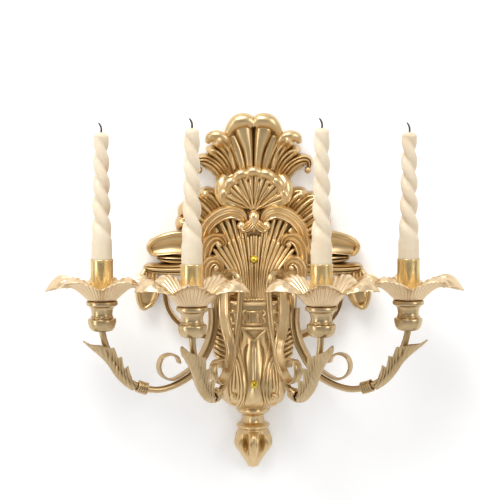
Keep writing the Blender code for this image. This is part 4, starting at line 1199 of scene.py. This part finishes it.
def wings():
    """Rolled leaves at the plate's ends, on a moulded stem, over an open scroll."""
    right = [
        lobe([(50.0, 82.0, -11.0, 7.0, 7.0), (68.0, 86.0, -11.0, 9.6, 9.0),
              (85.0, 87.5, -11.0, 11.0, 11.0), (100.0, 85.5, -10.5, 10.2, 12.0),
              (113.0, 82.5, -9.0, 8.0, 11.0)], dished, 64, 41, tip=0.92),
        bar([(62.0, -17.0, 93.0, 1.8), (72.0, -21.0, 98.0, 2.8), (82.0, -22.0, 99.4, 3.3),
             (96.0, -22.0, 96.4, 3.4), (107.0, -20.5, 91.4, 3.1), (112.2, -18.5, 85.0, 2.8),
             (110.0, -17.0, 78.0, 2.2), (104.0, -16.0, 75.0, 1.4)], 70, 18),
        lobe([(66.0, 70.0, -10.0, 4.0, 7.0), (88.0, 71.0, -10.0, 4.6, 9.5),
              (104.5, 72.3, -8.5, 3.0, 8.0)], plump(0.0, depth=0.4, spread=0.14), 40, 25,
             tip=0.8),
        lobe([(45.0, 60.0, -13.0, 8.5, 6.0), (70.0, 60.0, -11.5, 7.6, 8.0),
              (95.0, 60.0, -10.5, 6.4, 9.5), (110.0, 61.0, -10.0, 5.8, 10.0),
              (118.5, 62.5, -9.0, 4.2, 8.0)], plump(0.36, depth=0.34, spread=0.10), 64, 33,
             tip=0.88),
        lobe([(109.0, 62.0, -10.0, 7.0, 8.0), (112.5, 48.0, -10.0, 10.5, 10.5),
              (113.0, 36.0, -10.5, 11.8, 11.5), (115.0, 26.0, -10.0, 9.6, 11.5),
              (118.5, 17.5, -8.5, 5.0, 9.5)], dished, 64, 41, tip=0.84),
        bar([(116.5, -16.0, 60.0, 2.0), (122.6, -19.5, 49.0, 2.8), (124.0, -20.5, 36.0, 3.0),
             (122.0, -20.5, 25.0, 3.0), (118.0, -19.0, 18.6, 2.6), (110.5, -18.0, 22.6, 2.0),
             (104.6, -17.5, 30.0, 1.8), (102.0, -16.5, 40.0, 1.6), (103.5, -15.0, 52.0, 1.4)],
            90, 16),
        lobe([(108.0, 58.0, -12.0, 2.4, 6.0), (109.0, 44.0, -12.0, 2.4, 7.0),
              (111.5, 31.0, -11.0, 1.4, 5.0)], reed, 30, 15),
        lobe([(115.0, 58.0, -12.0, 2.4, 6.0), (116.0, 44.0, -12.0, 2.4, 7.0),
              (116.2, 31.0, -11.0, 1.4, 5.0)], reed, 30, 15),
        lobe([(91.0, 60.0, -9.0, 3.0, 6.0), (95.0, 46.0, -10.0, 3.1, 7.5),
              (94.5, 31.0, -10.5, 3.0, 8.0), (92.5, 20.0, -11.0, 2.9, 8.0),
              (88.0, 11.0, -11.5, 2.9, 8.0), (81.5, 3.5, -12.0, 2.9, 8.0),
              (73.0, -1.5, -12.5, 3.0, 8.0), (63.0, -7.0, -13.0, 3.4, 8.0),
              (53.0, -11.5, -13.5, 3.8, 8.0), (45.5, -11.0, -14.0, 4.0, 8.0),
              (41.6, -5.0, -14.0, 3.6, 7.0), (45.5, -1.4, -14.0, 2.6, 6.0)], moulded, 110, 23,
             tip=0.97),
        ball((46.5, -17.0, -6.0), 3.6),
    ]
    ornament("wing_relief", both_sides(right))


for build in (base_casting, crest, collar, shoulders, scrolls, reeds, belt, vase, finial, wings):
    build()


# ---------------------------------------------------------------- strap, studs and nuts

def cap_nut_piece(name, height, face):
    """Ball nut on a low flange, as turned brass."""
    start = face - 0.3
    profile = [(2.3, start), (3.9, start), (4.3, start - 0.5), (4.2, start - 1.1),
               (3.7, start - 1.6), (3.9, start - 2.2)]
    for i in range(13):
        turn = 0.5 * math.pi * (i / 13.0)
        profile.append((4.25 * math.cos(turn), start - 4.0 - 4.25 * math.sin(turn)))
    profile += [(0.5, start - 8.1), (0.5, start - 5.6), (2.3, start - 5.6)]
    shape = turned(profile, (0.0, height), 56, "Y", closed=True)
    make_piece(name + "_ball_nut", shape, ball_brass, "root", [name + "_cap_nut"])


for name, height, face in (("upper", 73.0, -33.5), ("lower", -59.0, -51.2)):
    cap_nut_piece(name, height, face)

FINISHES = {"wall_strap": strap_steel, "upper_stud": stud_steel, "lower_stud": stud_steel}
for kind in ARMS:
    for hand in SIDES:
        FINISHES[f"{kind}_{hand}_arm_nut"] = stud_steel
        FINISHES[f"{kind}_{hand}_socket_screw"] = stud_steel
for name, finish in FINISHES.items():
    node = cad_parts[name]
    node.data.materials.clear()
    node.data.materials.append(finish)


# ---------------------------------------------------------------- stage, light and camera

def see_through_behind(name, colour, glow):
    """Pale stage finish that is clear from its back."""
    material, tree, shader = node_tree(name)
    tone = mix(tree, spread(tree, noise(tree, 3.0, 2.0), 0.3, 0.7, 0.0, 1.0), colour,
               tuple(0.985 * c for c in colour))
    tree.links.new(tone, shader.inputs["Base Color"])
    shader.inputs["Roughness"].default_value = 0.9
    shader.inputs["Specular IOR Level"].default_value = 0.1
    shader.inputs["Emission Color"].default_value = (1.0, 1.0, 1.0, 1.0)
    shader.inputs["Emission Strength"].default_value = glow
    clear = add_node(tree, "ShaderNodeBsdfTransparent")
    side = add_node(tree, "ShaderNodeNewGeometry")
    blend = add_node(tree, "ShaderNodeMixShader")
    tree.links.new(side.outputs["Backfacing"], blend.inputs[0])
    tree.links.new(shader.outputs[0], blend.inputs[1])
    tree.links.new(clear.outputs[0], blend.inputs[2])
    tree.links.new(blend.outputs[0], tree.nodes["Material Output"].inputs["Surface"])
    return material


def stage_plane(name, corners, material):
    mesh = bpy.data.meshes.new(name)
    mesh.from_pydata(corners, [], [(0, 1, 2, 3)])
    mesh.materials.append(material)
    thing = bpy.data.objects.new(name, mesh)
    bpy.context.scene.collection.objects.link(thing)


WALL_Y, WALL_HALF, WALL_TOP = 0.001, 4.0, 3.0
FLOOR_Z, FLOOR_HALF = -0.9, 9.0
pale = see_through_behind("pale_wall", (0.90, 0.90, 0.90), 0.20)
pale_floor = see_through_behind("pale_floor", (0.66, 0.66, 0.66), 0.0)
stage_plane("wall", [(-WALL_HALF, WALL_Y, FLOOR_Z), (WALL_HALF, WALL_Y, FLOOR_Z),
                     (WALL_HALF, WALL_Y, WALL_TOP), (-WALL_HALF, WALL_Y, WALL_TOP)], pale)
stage_plane("floor", [(-FLOOR_HALF, -FLOOR_HALF, FLOOR_Z), (FLOOR_HALF, -FLOOR_HALF, FLOOR_Z),
                      (FLOOR_HALF, FLOOR_HALF, FLOOR_Z), (-FLOOR_HALF, FLOOR_HALF, FLOOR_Z)],
            pale_floor)


def softbox(name, place, target, size, power):
    """White rectangular area light aimed at a target."""
    light = bpy.data.lights.new(name, "AREA")
    light.shape = "RECTANGLE"
    light.size, light.size_y = size
    light.energy = power
    light.color = (1.0, 1.0, 1.0)
    thing = bpy.data.objects.new(name, light)
    thing.location = place
    thing.rotation_euler = (Vector(target) - Vector(place)).to_track_quat("-Z", "Y").to_euler()
    bpy.context.scene.collection.objects.link(thing)


CENTRE = (0.0, -0.05, 0.03)
softbox("key", (-0.6, -1.4, 1.9), CENTRE, (1.3, 0.9), 34.0)
softbox("fill", (1.5, -1.4, 0.6), CENTRE, (0.7, 1.4), 11.0)
softbox("left_strip", (-1.5, -0.9, 0.1), CENTRE, (0.35, 1.6), 7.0)
softbox("behind", (0.6, 1.6, 1.2), CENTRE, (1.4, 1.4), 18.0)

world = bpy.data.worlds.new("studio")
bpy.context.scene.world = world
world.use_nodes = True
sky = world.node_tree
up = add_node(sky, "ShaderNodeSeparateXYZ")
place = add_node(sky, "ShaderNodeTexCoord")
ramp = add_node(sky, "ShaderNodeValToRGB")
sky.links.new(place.outputs["Generated"], up.inputs[0])
sky.links.new(spread(sky, up.outputs["Z"], -1.0, 1.0, 0.0, 1.0), ramp.inputs["Fac"])
stops = ramp.color_ramp.elements
stops[0].position, stops[0].color = 0.0, (0.14, 0.13, 0.12, 1.0)
stops[1].position, stops[1].color = 1.0, (1.0, 1.0, 1.0, 1.0)
for position, level in ((0.42, 0.20), (0.54, 0.48), (0.72, 1.0)):
    stop = stops.new(position)
    stop.color = (level, level, level, 1.0)
sky.links.new(ramp.outputs["Color"], sky.nodes["Background"].inputs["Color"])
sky.nodes["Background"].inputs["Strength"].default_value = 0.62

DISTANCE = 2.6
RISE = math.radians(7.0)
SWING = math.radians(-1.5)
LENS_PIXELS = 2453.0
PICTURE_PIXELS = 500.0
SENSOR_WIDTH = 36.0
AIM_LEFT = 4.5
AIM_ABOVE = 80.0
AIM_POINT = Vector((0.0, -0.06, 0.0))
back = Vector((math.sin(SWING) * math.cos(RISE), -math.cos(SWING) * math.cos(RISE),
               math.sin(RISE)))
right = Vector((math.cos(SWING), math.sin(SWING), 0.0))
above = back.cross(right)
sight = -back * LENS_PIXELS - right * AIM_LEFT + above * AIM_ABOVE
camera = bpy.data.cameras.new("camera")
camera.lens = SENSOR_WIDTH * LENS_PIXELS / PICTURE_PIXELS
camera.clip_start = 0.1
viewer = bpy.data.objects.new("camera", camera)
viewer.location = AIM_POINT + back * DISTANCE
viewer.rotation_euler = sight.to_track_quat("-Z", "Y").to_euler()
bpy.context.scene.collection.objects.link(viewer)
bpy.context.scene.camera = viewer
bpy.context.scene.view_settings.view_transform = "Standard"
